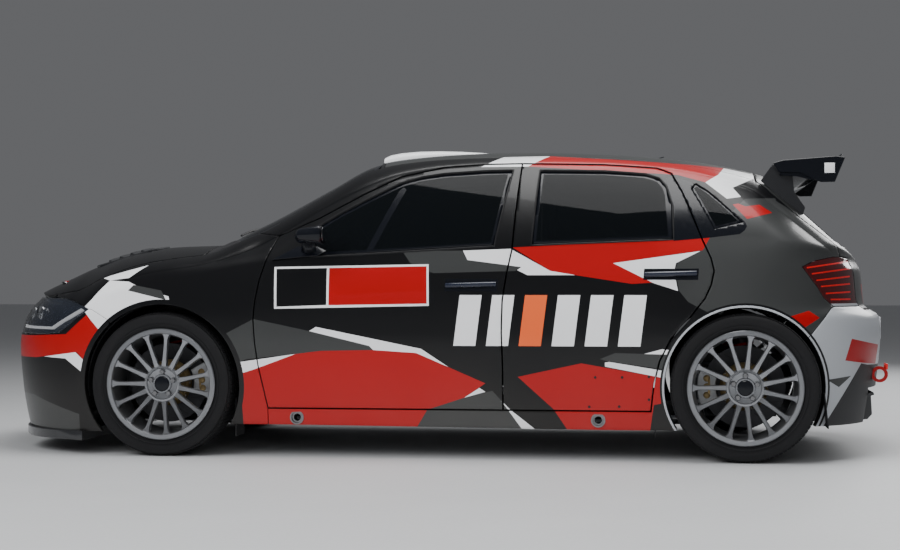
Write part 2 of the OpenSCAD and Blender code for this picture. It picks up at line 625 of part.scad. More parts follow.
// ---- Doors, mirrors, bonnet and tailgate ---------------------------------------------------------
// A door is an outer layer, cut to the opening, over a narrower inner layer, with its window cut out
module door(edge, window) difference() {
    intersection() {
        wall(0, wall_t);
        left_prism(edge, -shut_gap / 2);
    }
    difference() {
        form(skin_t);
        left_prism(edge, -shut_gap / 2 - step_in);
    }
    left_prism(window);
    arch_cuts();
    top_prism(both_flanks(roof_edge), shut_gap);
}
module door_glass(window) intersection() {
    pane();
    left_prism(window, -0.5);
}
module front_left_door() color(red) one_mesh() door(front_door_edge, front_window_edge);
module front_right_door() color(red) one_mesh() right_of() door(front_door_edge, front_window_edge);
module rear_left_door() color(slate) one_mesh() door(rear_door_edge, rear_window_edge);
module rear_right_door() color(slate) one_mesh() right_of() door(rear_door_edge, rear_window_edge);
module front_left_glass() color(clear) one_mesh() door_glass(front_window_edge);
module front_right_glass() color(clear) one_mesh() right_of() door_glass(front_window_edge);
module rear_left_glass() color(clear) one_mesh() door_glass(rear_window_edge);
module rear_right_glass() color(clear) one_mesh() right_of() door_glass(rear_window_edge);

module mirror_form() difference() {
    union() {
        hull() {
            translate(at([-525, -945, 962])) scale([0.7, 1, 1]) sphere(r = 34, $fn = 24);
            translate(at([-415, -945, 970])) scale([0.5, 1, 1.15]) sphere(r = 34, $fn = 24);
            translate(at([-515, -1010, 968])) scale([0.6, 0.8, 1]) sphere(r = 34, $fn = 24);
            translate(at([-420, -1015, 974])) scale([0.5, 0.8, 1.15]) sphere(r = 34, $fn = 24);
        }
        hull() {
            translate(at([-560, -850, 890])) cube([60, 20, 20], center = true);
            translate(at([-500, -930, 935])) cube([50, 20, 16], center = true);
        }
    }
    form(0);
}
module left_mirror() color(black) one_mesh() mirror_form();
module right_mirror() color(black) one_mesh() right_of() mirror_form();

module bonnet() color(black) one_mesh() intersection() {
    wall(0, bonnet_t);
    top_prism(both_flanks(bonnet_edge), -shut_gap / 2);
    pair() left_prism(bonnet_low);
}
module tailgate() color(slate) one_mesh() difference() {
    intersection() {
        wall(0, wall_t);
        tail_prism(both_sides(tailgate_edge), tailgate_x + shut_gap / 2, -shut_gap / 2);
    }
    difference() {
        form(skin_t);
        tail_prism(both_sides(tailgate_edge), tailgate_x, -shut_gap / 2 - step_in);
    }
    tail_prism(both_sides(rear_window_view), tailgate_x);
}
module rear_window() color(clear) one_mesh() intersection() {
    pane();
    tail_prism(both_sides(rear_window_view), tailgate_x, -0.5);
}

wing_half = 604;
module wing_plate(points, y, t) translate([0, fy(y) + t / 2, 0]) rotate([90, 0, 0]) linear_extrude(t) polygon(side(points));
module rear_wing() color(black) one_mesh() difference() {
    union() {
        // Upper plane, lower plane, end plates and pylons
        wing_plate([[1530, 1288], [1560, 1300], [1650, 1308], [1815, 1318], [1815, 1312], [1680, 1294], [1560, 1280]], 0, 2 * fy(wing_half));
        wing_plate([[1545, 1246], [1570, 1254], [1640, 1250], [1700, 1222], [1690, 1214], [1620, 1232], [1560, 1238]], 0, 2 * fy(wing_half));
        for (s = [-1, 1]) {
            wing_plate([[1517, 1292], [1560, 1304], [1788, 1320], [1827, 1314], [1783, 1206], [1723, 1206], [1629, 1240], [1543, 1238]], s * (wing_half + 3), 8);
            wing_plate([[1466, 1200], [1519, 1292], [1640, 1290], [1612, 1168], [1676, 1082], [1640, 1040], [1500, 1150]], s * 540, 12);
        }
    }
    form(0);
}

// ---- Wheels, each built with its outer face towards +Z ---------------------------------------------
rim_w = 224;
// The rim grows when the brake disc needs the room
rim_out = max(rim_r, disc_r + 70);
sidewall = max(2, min(26, (tyre_r - rim_out) / 2 - 10));
barrel_t = 8;
bead_drop = 16;
hub_r = 72;
spoke_z = [58, 92];
disc_z = -44;
disc_t = 32;
module rim() {
    h = rim_w / 2;
    b = rim_out - bead_drop;
    rotate_extrude($fn = 96) polygon([
        [b - barrel_t, -h], [rim_out, -h], [rim_out, -h + 6], [b, -h + 12],
        [b, h - 12], [rim_out, h - 6], [rim_out, h], [b - barrel_t, h]
    ]);
    for (k = [0:spokes - 1]) rotate([0, 0, 360 * k / spokes]) translate([0, 0, spoke_z[0]])
        linear_extrude(spoke_z[1] - spoke_z[0]) polygon([[hub_r - 15, -11], [b - 4, -8], [b - 4, 8], [hub_r - 15, 11]]);
    translate([0, 0, disc_z - disc_t / 2]) cylinder(h = spoke_z[1] - 8 - disc_z + disc_t / 2, r = hub_r, $fn = 64);
    translate([0, 0, disc_z - disc_t / 2]) cylinder(h = disc_t, r = disc_r, $fn = 96);
}
module tyre() {
    h = tyre_w / 2;
    seat_r = rim_out - bead_drop + 0.3;
    mid_r = (rim_out + tyre_r) / 2;
    bead = rim_w / 2 - 13;
    rotate_extrude($fn = 96) polygon(concat(
        [[seat_r, -bead], [rim_out + 2, -bead - 2]],
        [for (a = [-50:20:50]) [mid_r + sidewall * sin(a), -h + 12 - 12 * cos(a)]],
        [[tyre_r - 4, -h + 14], [tyre_r, -h + 30], [tyre_r, h - 30], [tyre_r - 4, h - 14]],
        [for (a = [50:-20:-50]) [mid_r + sidewall * sin(a), h - 12 + 12 * cos(a)]],
        [[rim_out + 2, bead + 2], [seat_r, bead]]
    ));
}
caliper_gap = 6;
caliper_len = 110;
module knuckle(caliper_angle) {
    back = disc_z - disc_t / 2 - caliper_gap;
    in_z = -track_half + arm_end + 12;
    in_r = disc_r - 54;
    translate([0, 0, in_z]) cylinder(h = back - in_z, r = 52, $fn = 48);
    translate([-24, -128, back - 24]) cube([48, 256, 24]);
    rotate([0, 0, caliper_angle]) difference() {
        union() {
            translate([in_r, -caliper_len / 2, back - 16]) cube([80, caliper_len, disc_t + 2 * caliper_gap + 38]);
            translate([10, -30, back - 16]) cube([in_r, 60, 14]);
        }
        translate([0, 0, back]) cylinder(h = disc_t + 2 * caliper_gap, r = disc_r + caliper_gap, $fn = 96);
    }
}
module placed(x, right) {
    if (right) right_of() at_wheel(x, track_half) children();
    else at_wheel(x, track_half) children();
}
module left_knuckle() color(steel) placed(front_x, false) knuckle(5);
module right_knuckle() color(steel) placed(front_x, true) knuckle(5);
module front_left_rim() color(steel) placed(front_x, false) rim();
module front_right_rim() color(steel) placed(front_x, true) rim();
module rear_left_rim() color(steel) placed(rear_x, false) rim();
module rear_right_rim() color(steel) placed(rear_x, true) rim();
module front_left_tyre() color(black) placed(front_x, false) tyre();
module front_right_tyre() color(black) placed(front_x, true) tyre();
module rear_left_tyre() color(black) placed(rear_x, false) tyre();
module rear_right_tyre() color(black) placed(rear_x, true) tyre();

floor_pan();
left_side_frame();
right_side_frame();
front_fenders();
cowl_panel();
roof_panel();
front_bumper();
front_splitter();
rear_bumper();
rear_diffuser();
wheel_housings();
windscreen();
quarter_windows();
headlights();
taillights();
roof_scoop();
roll_cage();
dashboard();
bucket_seats();
engine();
front_suspension();
rear_suspension();
skid_plate();
exhaust();
tow_eyes();
jack_sockets();
front_left_door();
front_left_glass();
left_mirror();
front_right_door();
front_right_glass();
right_mirror();
rear_left_door();
rear_left_glass();
rear_right_door();
rear_right_glass();
bonnet();
tailgate();
rear_window();
rear_wing();
left_knuckle();
right_knuckle();
steering_wheel();
front_left_rim();
front_left_tyre();
front_right_rim();
front_right_tyre();
rear_left_rim();
rear_left_tyre();
rear_right_rim();
rear_right_tyre();
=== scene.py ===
"""Looks of the rally car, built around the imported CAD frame.

Units are metres. +X points to the tail, -Y to the car's left side, +Z up.
Outlines and body lines are written in millimetres and pass through MM.
"""

from __future__ import annotations

import logging
import math
from collections.abc import Callable, Sequence
from dataclasses import dataclass, field
from enum import Enum

import bmesh
import bpy
import numpy as np
from mathutils import Euler, Matrix, Vector

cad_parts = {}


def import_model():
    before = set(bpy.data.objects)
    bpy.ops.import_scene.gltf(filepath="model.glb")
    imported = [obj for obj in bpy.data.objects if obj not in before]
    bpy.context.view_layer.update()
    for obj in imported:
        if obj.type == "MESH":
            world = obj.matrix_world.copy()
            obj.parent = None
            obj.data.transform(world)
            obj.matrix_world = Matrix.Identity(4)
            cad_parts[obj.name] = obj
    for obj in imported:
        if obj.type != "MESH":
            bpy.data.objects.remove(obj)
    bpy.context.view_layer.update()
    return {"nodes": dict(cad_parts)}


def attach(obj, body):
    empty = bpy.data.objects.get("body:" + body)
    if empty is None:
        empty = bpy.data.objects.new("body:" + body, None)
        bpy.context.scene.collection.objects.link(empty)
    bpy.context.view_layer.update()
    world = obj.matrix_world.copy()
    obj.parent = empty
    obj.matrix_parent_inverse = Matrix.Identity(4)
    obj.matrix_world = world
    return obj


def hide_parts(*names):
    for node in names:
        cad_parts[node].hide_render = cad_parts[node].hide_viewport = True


LOG = logging.getLogger("rally_car")
MM = 0.001
Points = Sequence[tuple[float, float]]

HUB_Z = 318.0
FRONT_X = -1165.0
REAR_X = 1383.0
TRACK_HALF = 790.0
# Inner ends of the headlights and tail lights, and the plane behind which the tailgate's gap is cut.
LAMP_Y = 438.0
TAIL_LAMP_Y = 380.0
HATCH_X = 1440.0


# ---- Materials ---------------------------------------------------------------------------------


@dataclass(frozen=True)
class Finish:
    """One surface finish, made into a node material on first use."""

    name: str
    color: tuple[float, float, float]
    roughness: float = 0.4
    metallic: float = 0.0
    coat: float = 0.0
    alpha: float = 1.0
    grain: float = 0.0
    grain_scale: float = 60.0
    mottle: float = 0.06
    dust: float = 0.0
    glow: float = 0.0
    sheen: float = 0.0
    weave: float = 0.0
    specular: float = 0.5

    def material(self) -> bpy.types.Material:
        """Returns the material of this finish, and makes it if it isn't there yet."""
        found = bpy.data.materials.get(self.name)
        return found or self.make()

    def make(self) -> bpy.types.Material:
        """Builds the node tree.

        Returns:
            The new material.
        """
        mat = bpy.data.materials.new(self.name)
        mat.use_nodes = True
        tree = mat.node_tree
        shader = tree.nodes["Principled BSDF"]
        shader.inputs["Metallic"].default_value = self.metallic
        shader.inputs["Coat Weight"].default_value = self.coat
        shader.inputs["Coat Roughness"].default_value = 0.04
        shader.inputs["Specular IOR Level"].default_value = self.specular
        shader.inputs["Alpha"].default_value = self.alpha
        shader.inputs["Sheen Weight"].default_value = self.sheen
        if self.glow:
            shader.inputs["Emission Color"].default_value = (*self.color, 1)
            shader.inputs["Emission Strength"].default_value = self.glow
        coords = tree.nodes.new("ShaderNodeTexCoord").outputs["Object"]
        broad = self.noise(tree, coords, 3.0, 3)
        fine = self.noise(tree, coords, self.grain_scale, 2)
        color = self.mixed(tree, broad, self.shade(1 - self.mottle), self.shade(1 + self.mottle))
        if self.dust:
            color = self.dusted(tree, coords, broad, color)
        if self.weave:
            color = self.woven(tree, coords, color)
        tree.links.new(color, shader.inputs["Base Color"])
        rough = self.ranged(tree, fine, self.roughness * 0.85, min(1.0, self.roughness * 1.15))
        tree.links.new(rough, shader.inputs["Roughness"])
        if self.grain:
            bump = tree.nodes.new("ShaderNodeBump")
            bump.inputs["Strength"].default_value = self.grain
            bump.inputs["Distance"].default_value = 0.001
            tree.links.new(fine, bump.inputs["Height"])
            tree.links.new(bump.outputs["Normal"], shader.inputs["Normal"])
        return mat

    def shade(self, k: float) -> tuple[float, float, float, float]:
        """Returns the colour times k, with full alpha."""
        return tuple(min(1.0, c * k) for c in self.color) + (1.0,)

    @staticmethod
    def noise(tree: bpy.types.NodeTree, coords: bpy.types.NodeSocket, scale: float,
            detail: float) -> bpy.types.NodeSocket:
        """Returns the value of a noise pattern in object coordinates."""
        node = tree.nodes.new("ShaderNodeTexNoise")
        node.inputs["Scale"].default_value = scale
        node.inputs["Detail"].default_value = detail
        tree.links.new(coords, node.inputs["Vector"])
        return node.outputs["Fac"]

    @staticmethod
    def mixed(tree: bpy.types.NodeTree, factor: bpy.types.NodeSocket, low: tuple,
            high: tuple) -> bpy.types.NodeSocket:
        """Returns a colour between low and high."""
        node = tree.nodes.new("ShaderNodeMix")
        node.data_type = "RGBA"
        node.inputs["A"].default_value = low
        node.inputs["B"].default_value = high
        tree.links.new(factor, node.inputs["Factor"])
        return node.outputs["Result"]

    @staticmethod
    def ranged(
        tree: bpy.types.NodeTree, value: bpy.types.NodeSocket, low: float, high: float,
        start: float = 0.3, end: float = 0.7
    ) -> bpy.types.NodeSocket:
        """Returns the value mapped from start..end to low..high."""
        node = tree.nodes.new("ShaderNodeMapRange")
        node.inputs["From Min"].default_value = start
        node.inputs["From Max"].default_value = end
        node.inputs["To Min"].default_value = low
        node.inputs["To Max"].default_value = high
        tree.links.new(value, node.inputs["Value"])
        return node.outputs["Result"]

    def dusted(
        self, tree: bpy.types.NodeTree, coords: bpy.types.NodeSocket, broad: bpy.types.NodeSocket,
        color: bpy.types.NodeSocket
    ) -> bpy.types.NodeSocket:
        """Returns the colour with road dust that fades upwards from the sills."""
        split = tree.nodes.new("ShaderNodeSeparateXYZ")
        tree.links.new(coords, split.inputs["Vector"])
        height = self.ranged(tree, split.outputs["Z"], self.dust, 0.0, 0.1, 0.55)
        times = tree.nodes.new("ShaderNodeMath")
        times.operation = "MULTIPLY"
        tree.links.new(height, times.inputs[0])
        tree.links.new(broad, times.inputs[1])
        node = tree.nodes.new("ShaderNodeMix")
        node.data_type = "RGBA"
        node.inputs["B"].default_value = (0.32, 0.29, 0.25, 1)
        tree.links.new(times.outputs[0], node.inputs["Factor"])
        tree.links.new(color, node.inputs["A"])
        return node.outputs["Result"]

    def woven(self, tree: bpy.types.NodeTree, coords: bpy.types.NodeSocket,
            color: bpy.types.NodeSocket) -> bpy.types.NodeSocket:
        """Returns the colour crossed by the fine squares of a woven cloth or carbon sheet."""
        checks = tree.nodes.new("ShaderNodeTexChecker")
        checks.inputs["Scale"].default_value = 180.0
        checks.inputs["Color1"].default_value = (1, 1, 1, 1)
        low = 1 - self.weave
        checks.inputs["Color2"].default_value = (low, low, low, 1)
        tree.links.new(coords, checks.inputs["Vector"])
        node = tree.nodes.new("ShaderNodeMix")
        node.data_type = "RGBA"
        node.blend_type = "MULTIPLY"
        node.inputs["Factor"].default_value = 1.0
        tree.links.new(color, node.inputs["A"])
        tree.links.new(checks.outputs["Color"], node.inputs["B"])
        return node.outputs["Result"]


def paint(name: str, color: tuple[float, float, float], **more: float) -> Finish:
    """Returns a lacquered body paint."""
    values = {"roughness": 0.36, "coat": 0.16, "specular": 0.32, "mottle": 0.04, "dust": 0.08,
        "grain_scale": 300.0} | more
    return Finish(name, color, **values)


RED = paint("paint_red", (0.38, 0.001, 0.003))
BLACK = paint("paint_black", (0.004, 0.0042, 0.005))
SLATE = paint("paint_slate", (0.040, 0.042, 0.042))
WHITE = paint("paint_white", (0.86, 0.87, 0.89))
ORANGE = paint("paint_orange", (0.85, 0.13, 0.03))
CARBON = Finish("carbon_sheet", (0.022, 0.023, 0.026), roughness=0.35, coat=0.6, weave=0.45)
PLASTIC = Finish("black_plastic", (0.018, 0.018, 0.02), roughness=0.55, grain=0.25,
    grain_scale=900.0)
GLOSS_BLACK = Finish("gloss_black", (0.005, 0.006, 0.009), roughness=0.22, coat=0.1, specular=0.3)
RUBBER = Finish("tyre_rubber", (0.009, 0.009, 0.010), roughness=0.78, grain=0.35, grain_scale=500.0,
    mottle=0.2)
SEAL = Finish("rubber_seal", (0.006, 0.006, 0.007), roughness=0.6)
ALLOY = Finish("wheel_silver", (0.34, 0.35, 0.37), roughness=0.34, metallic=0.85, coat=0.3,
    dust=0.1)
IRON = Finish("disc_iron", (0.06, 0.06, 0.064), roughness=0.42, metallic=1.0, mottle=0.15)
GOLD = Finish("disc_bell_gold", (0.34, 0.25, 0.12), roughness=0.45, metallic=0.8)
CALIPER = Finish("caliper_grey", (0.34, 0.345, 0.355), roughness=0.4, metallic=0.6)
STEEL = Finish("machined_steel", (0.36, 0.36, 0.37), roughness=0.35, metallic=1.0, mottle=0.1)
DULL_STEEL = Finish("chassis_steel", (0.08, 0.08, 0.085), roughness=0.55, metallic=0.6, mottle=0.2)
TINT = Finish("tinted_glass", (0.004, 0.005, 0.006), roughness=0.03, alpha=0.86, specular=0.1,
    mottle=0.0)
LENS = Finish("lamp_lens", (0.02, 0.025, 0.035), roughness=0.04, alpha=0.40, coat=1.0, mottle=0.0)
NAVY = Finish("lamp_surround", (0.010, 0.014, 0.030), roughness=0.3, coat=0.4)
CHROME = Finish("bright_metal", (0.75, 0.76, 0.78), roughness=0.10, metallic=1.0, mottle=0.02)
LED = Finish("led_strip", (0.95, 0.97, 1.0), roughness=0.2, glow=0.6, mottle=0.0)
RED_LENS = Finish("tail_lens", (0.06, 0.001, 0.002), roughness=0.12, coat=0.4, mottle=0.05)
RED_GLOW = Finish("red_lamp_line", (0.60, 0.01, 0.01), roughness=0.25, glow=0.12, mottle=0.0)
CAGE = Finish("cage_enamel", (0.62, 0.63, 0.65), roughness=0.4, coat=0.3)
CLOTH = Finish("seat_cloth", (0.018, 0.018, 0.022), roughness=0.9, grain=0.6, grain_scale=700.0,
    sheen=0.4, weave=0.3)
WEBBING = Finish("harness_webbing", (0.42, 0.02, 0.03), roughness=0.8, grain=0.5, grain_scale=900.0,
    weave=0.25)
CABIN = Finish("cabin_paint", (0.10, 0.105, 0.115), roughness=0.5, mottle=0.1)


# ---- Body lines --------------------------------------------------------------------------------


class Curve:
    """A smooth line through (place, value) rows that never overshoots them."""

    def __init__(self, rows: Points) -> None:
        """Keeps the rows and works out their slopes."""
        self.x = np.array([r[0] for r in rows], float)
        self.v = np.array([r[1] for r in rows], float)
        rise = np.diff(self.v) / np.diff(self.x)
        inner = np.where(
            rise[:-1] * rise[1:] > 0, 2 * rise[:-1] * rise[1:] / np.where(rise[:-1] + rise[1:] == 0,
            1, rise[:-1] + rise[1:]), 0.0
        )
        self.m = np.concatenate([[rise[0]], inner, [rise[-1]]])

    def __call__(self, t: np.ndarray) -> np.ndarray:
        """Returns the values at places t."""
        i = np.clip(np.searchsorted(self.x, t, side="right") - 1, 0, len(self.x) - 2)
        h = self.x[i + 1] - self.x[i]
        u = np.clip((t - self.x[i]) / h, 0, 1)
        a, b, p, q = self.v[i], self.v[i + 1], self.m[i] * h, self.m[i + 1] * h
        return a + u * (p + u * (3 * (b - a) - 2 * p - q + u * (p + q - 2 * (b - a))))


def soft_min(a: np.ndarray, b: np.ndarray, blend: float) -> np.ndarray:
    """Returns the lesser of a and b, rounded where they meet."""
    h = np.maximum(blend - np.abs(a - b), 0) / blend
    return np.minimum(a, b) - h * h * blend / 4


@dataclass
class BodyForm:
    """The car's outer form, as lines from nose to tail, in millimetres."""

    corner_x: float = 1250.0
    corner_power: float = 2.6
    glass_bow: float = 0.45
    crown_up: float = 1.5
    crown_out: float = 2.8
    blend: float = 22.0
    top_z: Curve = field(default_factory=lambda: Curve([
        (-2060, 610), (-1990, 668), (-1907, 715), (-1850, 752), (-1724, 814), (-1600, 868),
        (-1386, 925), (-1266, 940),
        (-1010, 949), (-1000, 951), (-842, 1036), (-700, 1112), (-482, 1230), (-290, 1331),
        (-150, 1354), (50, 1369),
        (250, 1376), (450, 1376), (736, 1367), (950, 1352), (1116, 1336), (1305, 1307),
        (1440, 1277), (1480, 1266),
        (1520, 1238), (1690, 1083), (1905, 872), (1960, 806), (2060, 700)]))
    rail_z: Curve = field(default_factory=lambda: Curve([
        (-2060, 520), (-1800, 560), (-1600, 615), (-1443, 725), (-1278, 795), (-1165, 818),
        (-1000, 842), (-842, 888),
        (-735, 938), (-620, 1004), (-482, 1088), (-277, 1192), (-126, 1250), (71, 1282),
        (379, 1294), (783, 1286),
        (1054, 1264), (1172, 1244), (1287, 1215), (1440, 1158), (1520, 1096), (1658, 985),
        (1800, 862), (1905, 760),
        (2060, 640)]))
    rail_y: Curve = field(default_factory=lambda: Curve([
        (-2060, 830), (-1600, 862), (-1443, 866), (-1165, 864), (-1000, 850), (-842, 806),
        (-735, 757), (-620, 735),
        (-482, 712), (-277, 680), (-126, 650), (71, 632), (379, 625), (783, 625), (1054, 628),
        (1287, 636),
        (1440, 640), (1520, 642), (1658, 668), (1800, 720), (1905, 760), (2060, 780)]))
    belt_z: Curve = field(default_factory=lambda: Curve([
        (-2060, 505), (-1800, 535), (-1600, 590), (-1443, 690), (-1278, 748), (-1165, 768),
        (-1000, 800), (-842, 838),
        (-735, 857), (-258, 887), (308, 920), (1207, 952), (1383, 962), (1500, 948), (1658, 880),
        (1800, 790),
        (1905, 700), (2060, 610)]))
    belt_y: Curve = field(default_factory=lambda: Curve([
        (-2060, 880), (-1800, 888), (-1443, 893), (-1165, 890), (-1000, 878), (-842, 864),
        (-735, 855), (-258, 850),
        (308, 850), (800, 848), (1207, 836), (1383, 826), (1500, 822), (1658, 822), (1905, 828),
        (2060, 832)]))
    waist_y: Curve = field(default_factory=lambda: Curve([
        (-2060, 902), (-1510, 908), (-1165, 910), (-830, 904), (-690, 888), (-400, 880), (0, 878),
        (400, 880),
        (800, 884), (960, 892), (1080, 905), (1383, 910), (1700, 906), (1900, 898), (2060, 890)]))
    waist_z: Curve = field(default_factory=lambda: Curve([
        (-2060, 500), (-1600, 540), (-1165, 600), (-700, 600), (900, 600), (1383, 620), (1700, 600),
        (2060, 540)]))
    sill_z: Curve = field(default_factory=lambda: Curve([
        (-2060, 134), (-1500, 142), (-780, 142), (980, 132), (1700, 150), (2060, 160)]))
    sill_y: Curve = field(default_factory=lambda: Curve([
        (-2060, 850), (-1500, 868), (-780, 852), (980, 852), (1700, 862), (2060, 845)]))
    nose_x: Curve = field(default_factory=lambda: Curve([
        (60, 1965), (140, 1990), (300, 2016), (477, 2030), (590, 2008), (660, 1960), (715, 1909),
        (800, 1907)]))
    tail_x: Curve = field(default_factory=lambda: Curve([
        (60, 1960), (150, 1985), (363, 2014), (554, 2030), (620, 2018), (648, 1975), (668, 1954),
        (821, 1938),
        (868, 1915), (900, 1912)]))
    flank_y: Curve = field(default_factory=lambda: Curve([(60, 885), (350, 914), (600, 914),
        (700, 900), (900, 880)]))

    def long_y(self, x: np.ndarray, z: np.ndarray, sunk: float = 0.0) -> np.ndarray:
        """Returns the half width of the cross-section at x and height z, from its lines alone.

        Args:
            x: Places along the car.
            z: Heights.
            sunk: How far the surface lies under the outer one.
        """
        zs, ys = self.sill_z(x), self.sill_y(x) - sunk
        zw, yw = self.waist_z(x), self.waist_y(x) - sunk
        zb, yb = self.belt_z(x), self.belt_y(x) - sunk
        zr, yr = self.rail_z(x) - sunk / 2, self.rail_y(x) - sunk
        zt = self.top_z(x) - sunk
        lower = yw - (yw - ys) * ((zw - z) / (zw - zs)) ** 2
        upper = yw - (yw - yb) * ((z - zw) / (zb - zw)) ** 2
        u = (z - zb) / (zr - zb)
        glass = yb - (yb - yr) * (self.glass_bow * u + (1 - self.glass_bow) * u * u)
        v = np.clip((z - zr) / np.maximum(zt - zr, 1), 0, 1)
        crown = yr * (1 - v**self.crown_up) ** (1 / self.crown_out)
        return np.where(z < zw, lower, np.where(z < zb, upper, np.where(z < zr, glass, crown)))

    def plan_y(self, x: np.ndarray, z: np.ndarray, sunk: float = 0.0) -> np.ndarray:
        """Returns the half width left by the nose and tail corners in plan."""
        end = np.where(x < 0, self.nose_x(z), self.tail_x(z))
        w = self.flank_y(z) - sunk
        u = np.clip((np.abs(x) - self.corner_x) / (end - sunk - self.corner_x), 0, 1)
        return w * (1 - u**self.corner_power) ** (1 / self.corner_power)

    def crown(self, u: np.ndarray, v: np.ndarray, sunk: float = 0.0) -> np.ndarray:
        """Maps (x, y) to the top of the car."""
        zr, yr, zt = self.rail_z(u) - sunk / 2, self.rail_y(u) - sunk, self.top_z(u) - sunk
        w = np.clip(np.abs(v) / yr, 0, 1)
        return np.stack([u, v, zr + (zt - zr) * (1 - w**self.crown_out) ** (1 / self.crown_up)], 1)

    def hood(self, u: np.ndarray, v: np.ndarray, sunk: float = 0.0) -> np.ndarray:
        """Maps (share of the way from the nose's edge to the windscreen, y) to the bonnet."""
        end = self.nose_x(np.full_like(u, 712.0)) - sunk - self.corner_x
        w = np.clip(np.abs(v) / (self.flank_y(np.full_like(u, 700.0)) - sunk), 0, 1)
        front = -self.corner_x - end * (1 - w**self.corner_power) ** (1 / self.corner_power)
        return self.crown(front + (-1000.0 - front) * u, v, sunk)

    def side(self, u: np.ndarray, v: np.ndarray, sunk: float = 0.0) -> np.ndarray:
        """Maps (x, share of the way up) to the left side.

        The share is -0.4 at the sill, 0 at the waist, 0.3 at the belt, 0.6 at the roof rail and 1
        at the top.
        """
        zs, ys = self.sill_z(u), self.sill_y(u) - sunk
        zw, yw = self.waist_z(u), self.waist_y(u) - sunk
        zb, yb = self.belt_z(u), self.belt_y(u) - sunk
        zr, yr = self.rail_z(u) - sunk / 2, self.rail_y(u) - sunk
        zt = self.top_z(u) - sunk
        low = np.clip(-v / 0.4, 0, 1)
        a = np.clip(v / 0.3, 0, 1)
        b = np.clip((v - 0.3) / 0.3, 0, 1)
        c = np.clip((v - 0.6) / 0.4, 0, 1) * math.pi / 2
        lower = (yw - (yw - ys) * low * low, zw - (zw - zs) * low)
        upper = (yw - (yw - yb) * a * a, zw + (zb - zw) * a)
        glass = (yb - (yb - yr) * (self.glass_bow * b + (1 - self.glass_bow) * b * b),
            zb + (zr - zb) * b)
        crown = (yr * np.maximum(np.cos(c), 0) ** (2 / self.crown_out),
            zr + (zt - zr) * np.sin(c) ** (2 / self.crown_up))
        y, z = (np.select([v < 0, v < 0.3, v < 0.6], [lower[i], upper[i], glass[i]], crown[i])
            for i in (0, 1))
        y = soft_min(y, self.plan_y(u, z, sunk), self.blend)
        return np.stack([u, -np.maximum(y, 0), z], 1)

    def ring(self, u: np.ndarray, v: np.ndarray, sunk: float, end: float,
            middle: float) -> np.ndarray:
        """Maps (share of the way round an end of the car, z) to its corners and face.

        Args:
            u: 0 at the left flank, 0.5 at the end's middle and 1 at the right flank.
            v: Heights.
            sunk: How far the surface lies under the outer one.
            end: -1 for the nose, 1 for the tail.
            middle: Where along the car the rays start.
        """
        side, along = -np.cos(u * math.pi), end * np.sin(u * math.pi)
        low, high = np.zeros_like(u), np.full_like(u, 1300.0)
        for _ in range(26):
            r = (low + high) / 2
            x = middle + r * along
            y = soft_min(self.long_y(x, v, sunk), self.plan_y(x, v, sunk), self.blend)
            past = (r * np.abs(side) > y) | (x * end > 2058)
            high, low = np.where(past, r, high), np.where(past, low, r)
        return np.stack([middle + low * along, low * side, v], 1)

    def nose(self, u: np.ndarray, v: np.ndarray, sunk: float = 0.0) -> np.ndarray:
        """Maps round the nose."""
        return self.ring(u, v, sunk, -1.0, -1300.0)

    def rump(self, u: np.ndarray, v: np.ndarray, sunk: float = 0.0) -> np.ndarray:
        """Maps round the tail."""
        return self.ring(u, v, sunk, 1.0, 1300.0)


FORM = BodyForm()


# ---- Outlines ----------------------------------------------------------------------------------


class View(Enum):
    """Which two axes an outline is drawn in."""

    SIDE = (0, 2)
    TOP = (0, 1)
    BACK = (1, 2)


def area(points: Points) -> float:
    """Returns the signed area of an outline."""
    return sum(a[0] * b[1] - b[0] * a[1] for a,
        b in zip(points, list(points[1:]) + [points[0]])) / 2


def grown(points: Points, by: float) -> list[tuple[float, float]]:
    """Returns the outline moved outwards.

    Args:
        points: The outline's corners.
        by: How far each edge moves; less than zero moves it in.
    """
    sign = 1 if area(points) > 0 else -1
    out = []
    count = len(points)
    for i in range(count):
        p, q, r = (Vector(points[(i + k) % count]) for k in (-1, 0, 1))
        a, b = (q - p).normalized(), (r - q).normalized()
        na, nb = Vector((a.y, -a.x)) * sign, Vector((b.y, -b.x)) * sign
        mid = na + nb
        out.append(tuple(q + mid * (by / max(0.3, 1 + na.dot(nb)))))
    return out


def both(points: Points, mirror_first: bool = True) -> list[tuple[float, float]]:
    """Returns a half outline joined to its mirror image across the car's middle."""
    flip = [(-a, b) if mirror_first else (a, -b) for a, b in reversed(points)]
    return list(points) + flip


def circle(x: float, y: float, r: float, count: int = 72) -> list[tuple[float, float]]:
    """Returns the corners of a round outline."""
    return [(x + r * math.cos(2 * math.pi * k / count), y + r * math.sin(2 * math.pi * k / count))
        for k in range(count)]


FRONT_DOOR = [
    (-664, 975), (-690, 900), (-727, 777), (-744, 680), (-750, 602), (-743, 500), (-729, 400),
    (-689, 214), (350, 214),
    (349, 400), (344, 560), (348, 692), (365, 800), (388, 909), (415, 1297), (250, 1295),
    (71, 1283), (-126, 1240),
    (-277, 1165), (-482, 1052)]
REAR_DOOR = [
    (350, 214), (349, 400), (344, 560), (348, 692), (365, 800), (388, 909), (415, 1297),
    (783, 1289), (1010, 1272),
    (1075, 1246), (1125, 1150), (1207, 943), (1240, 870), (1253, 815), (1240, 755), (1215, 700),
    (1142, 606),
    (1070, 525), (1022, 430), (998, 330), (985, 214)]
FRONT_WINDOW = [
    (-500, 882), (-545, 950), (-482, 1012), (-380, 1075), (-277, 1130), (-126, 1208), (-30, 1236),
    (71, 1251), (250, 1262),
    (374, 1264), (308, 926), (-258, 893)]
REAR_WINDOW = [(474, 930), (498, 1262), (783, 1257), (960, 1242), (1020, 1222), (1050, 1185),
    (1076, 1100), (1080, 952)]
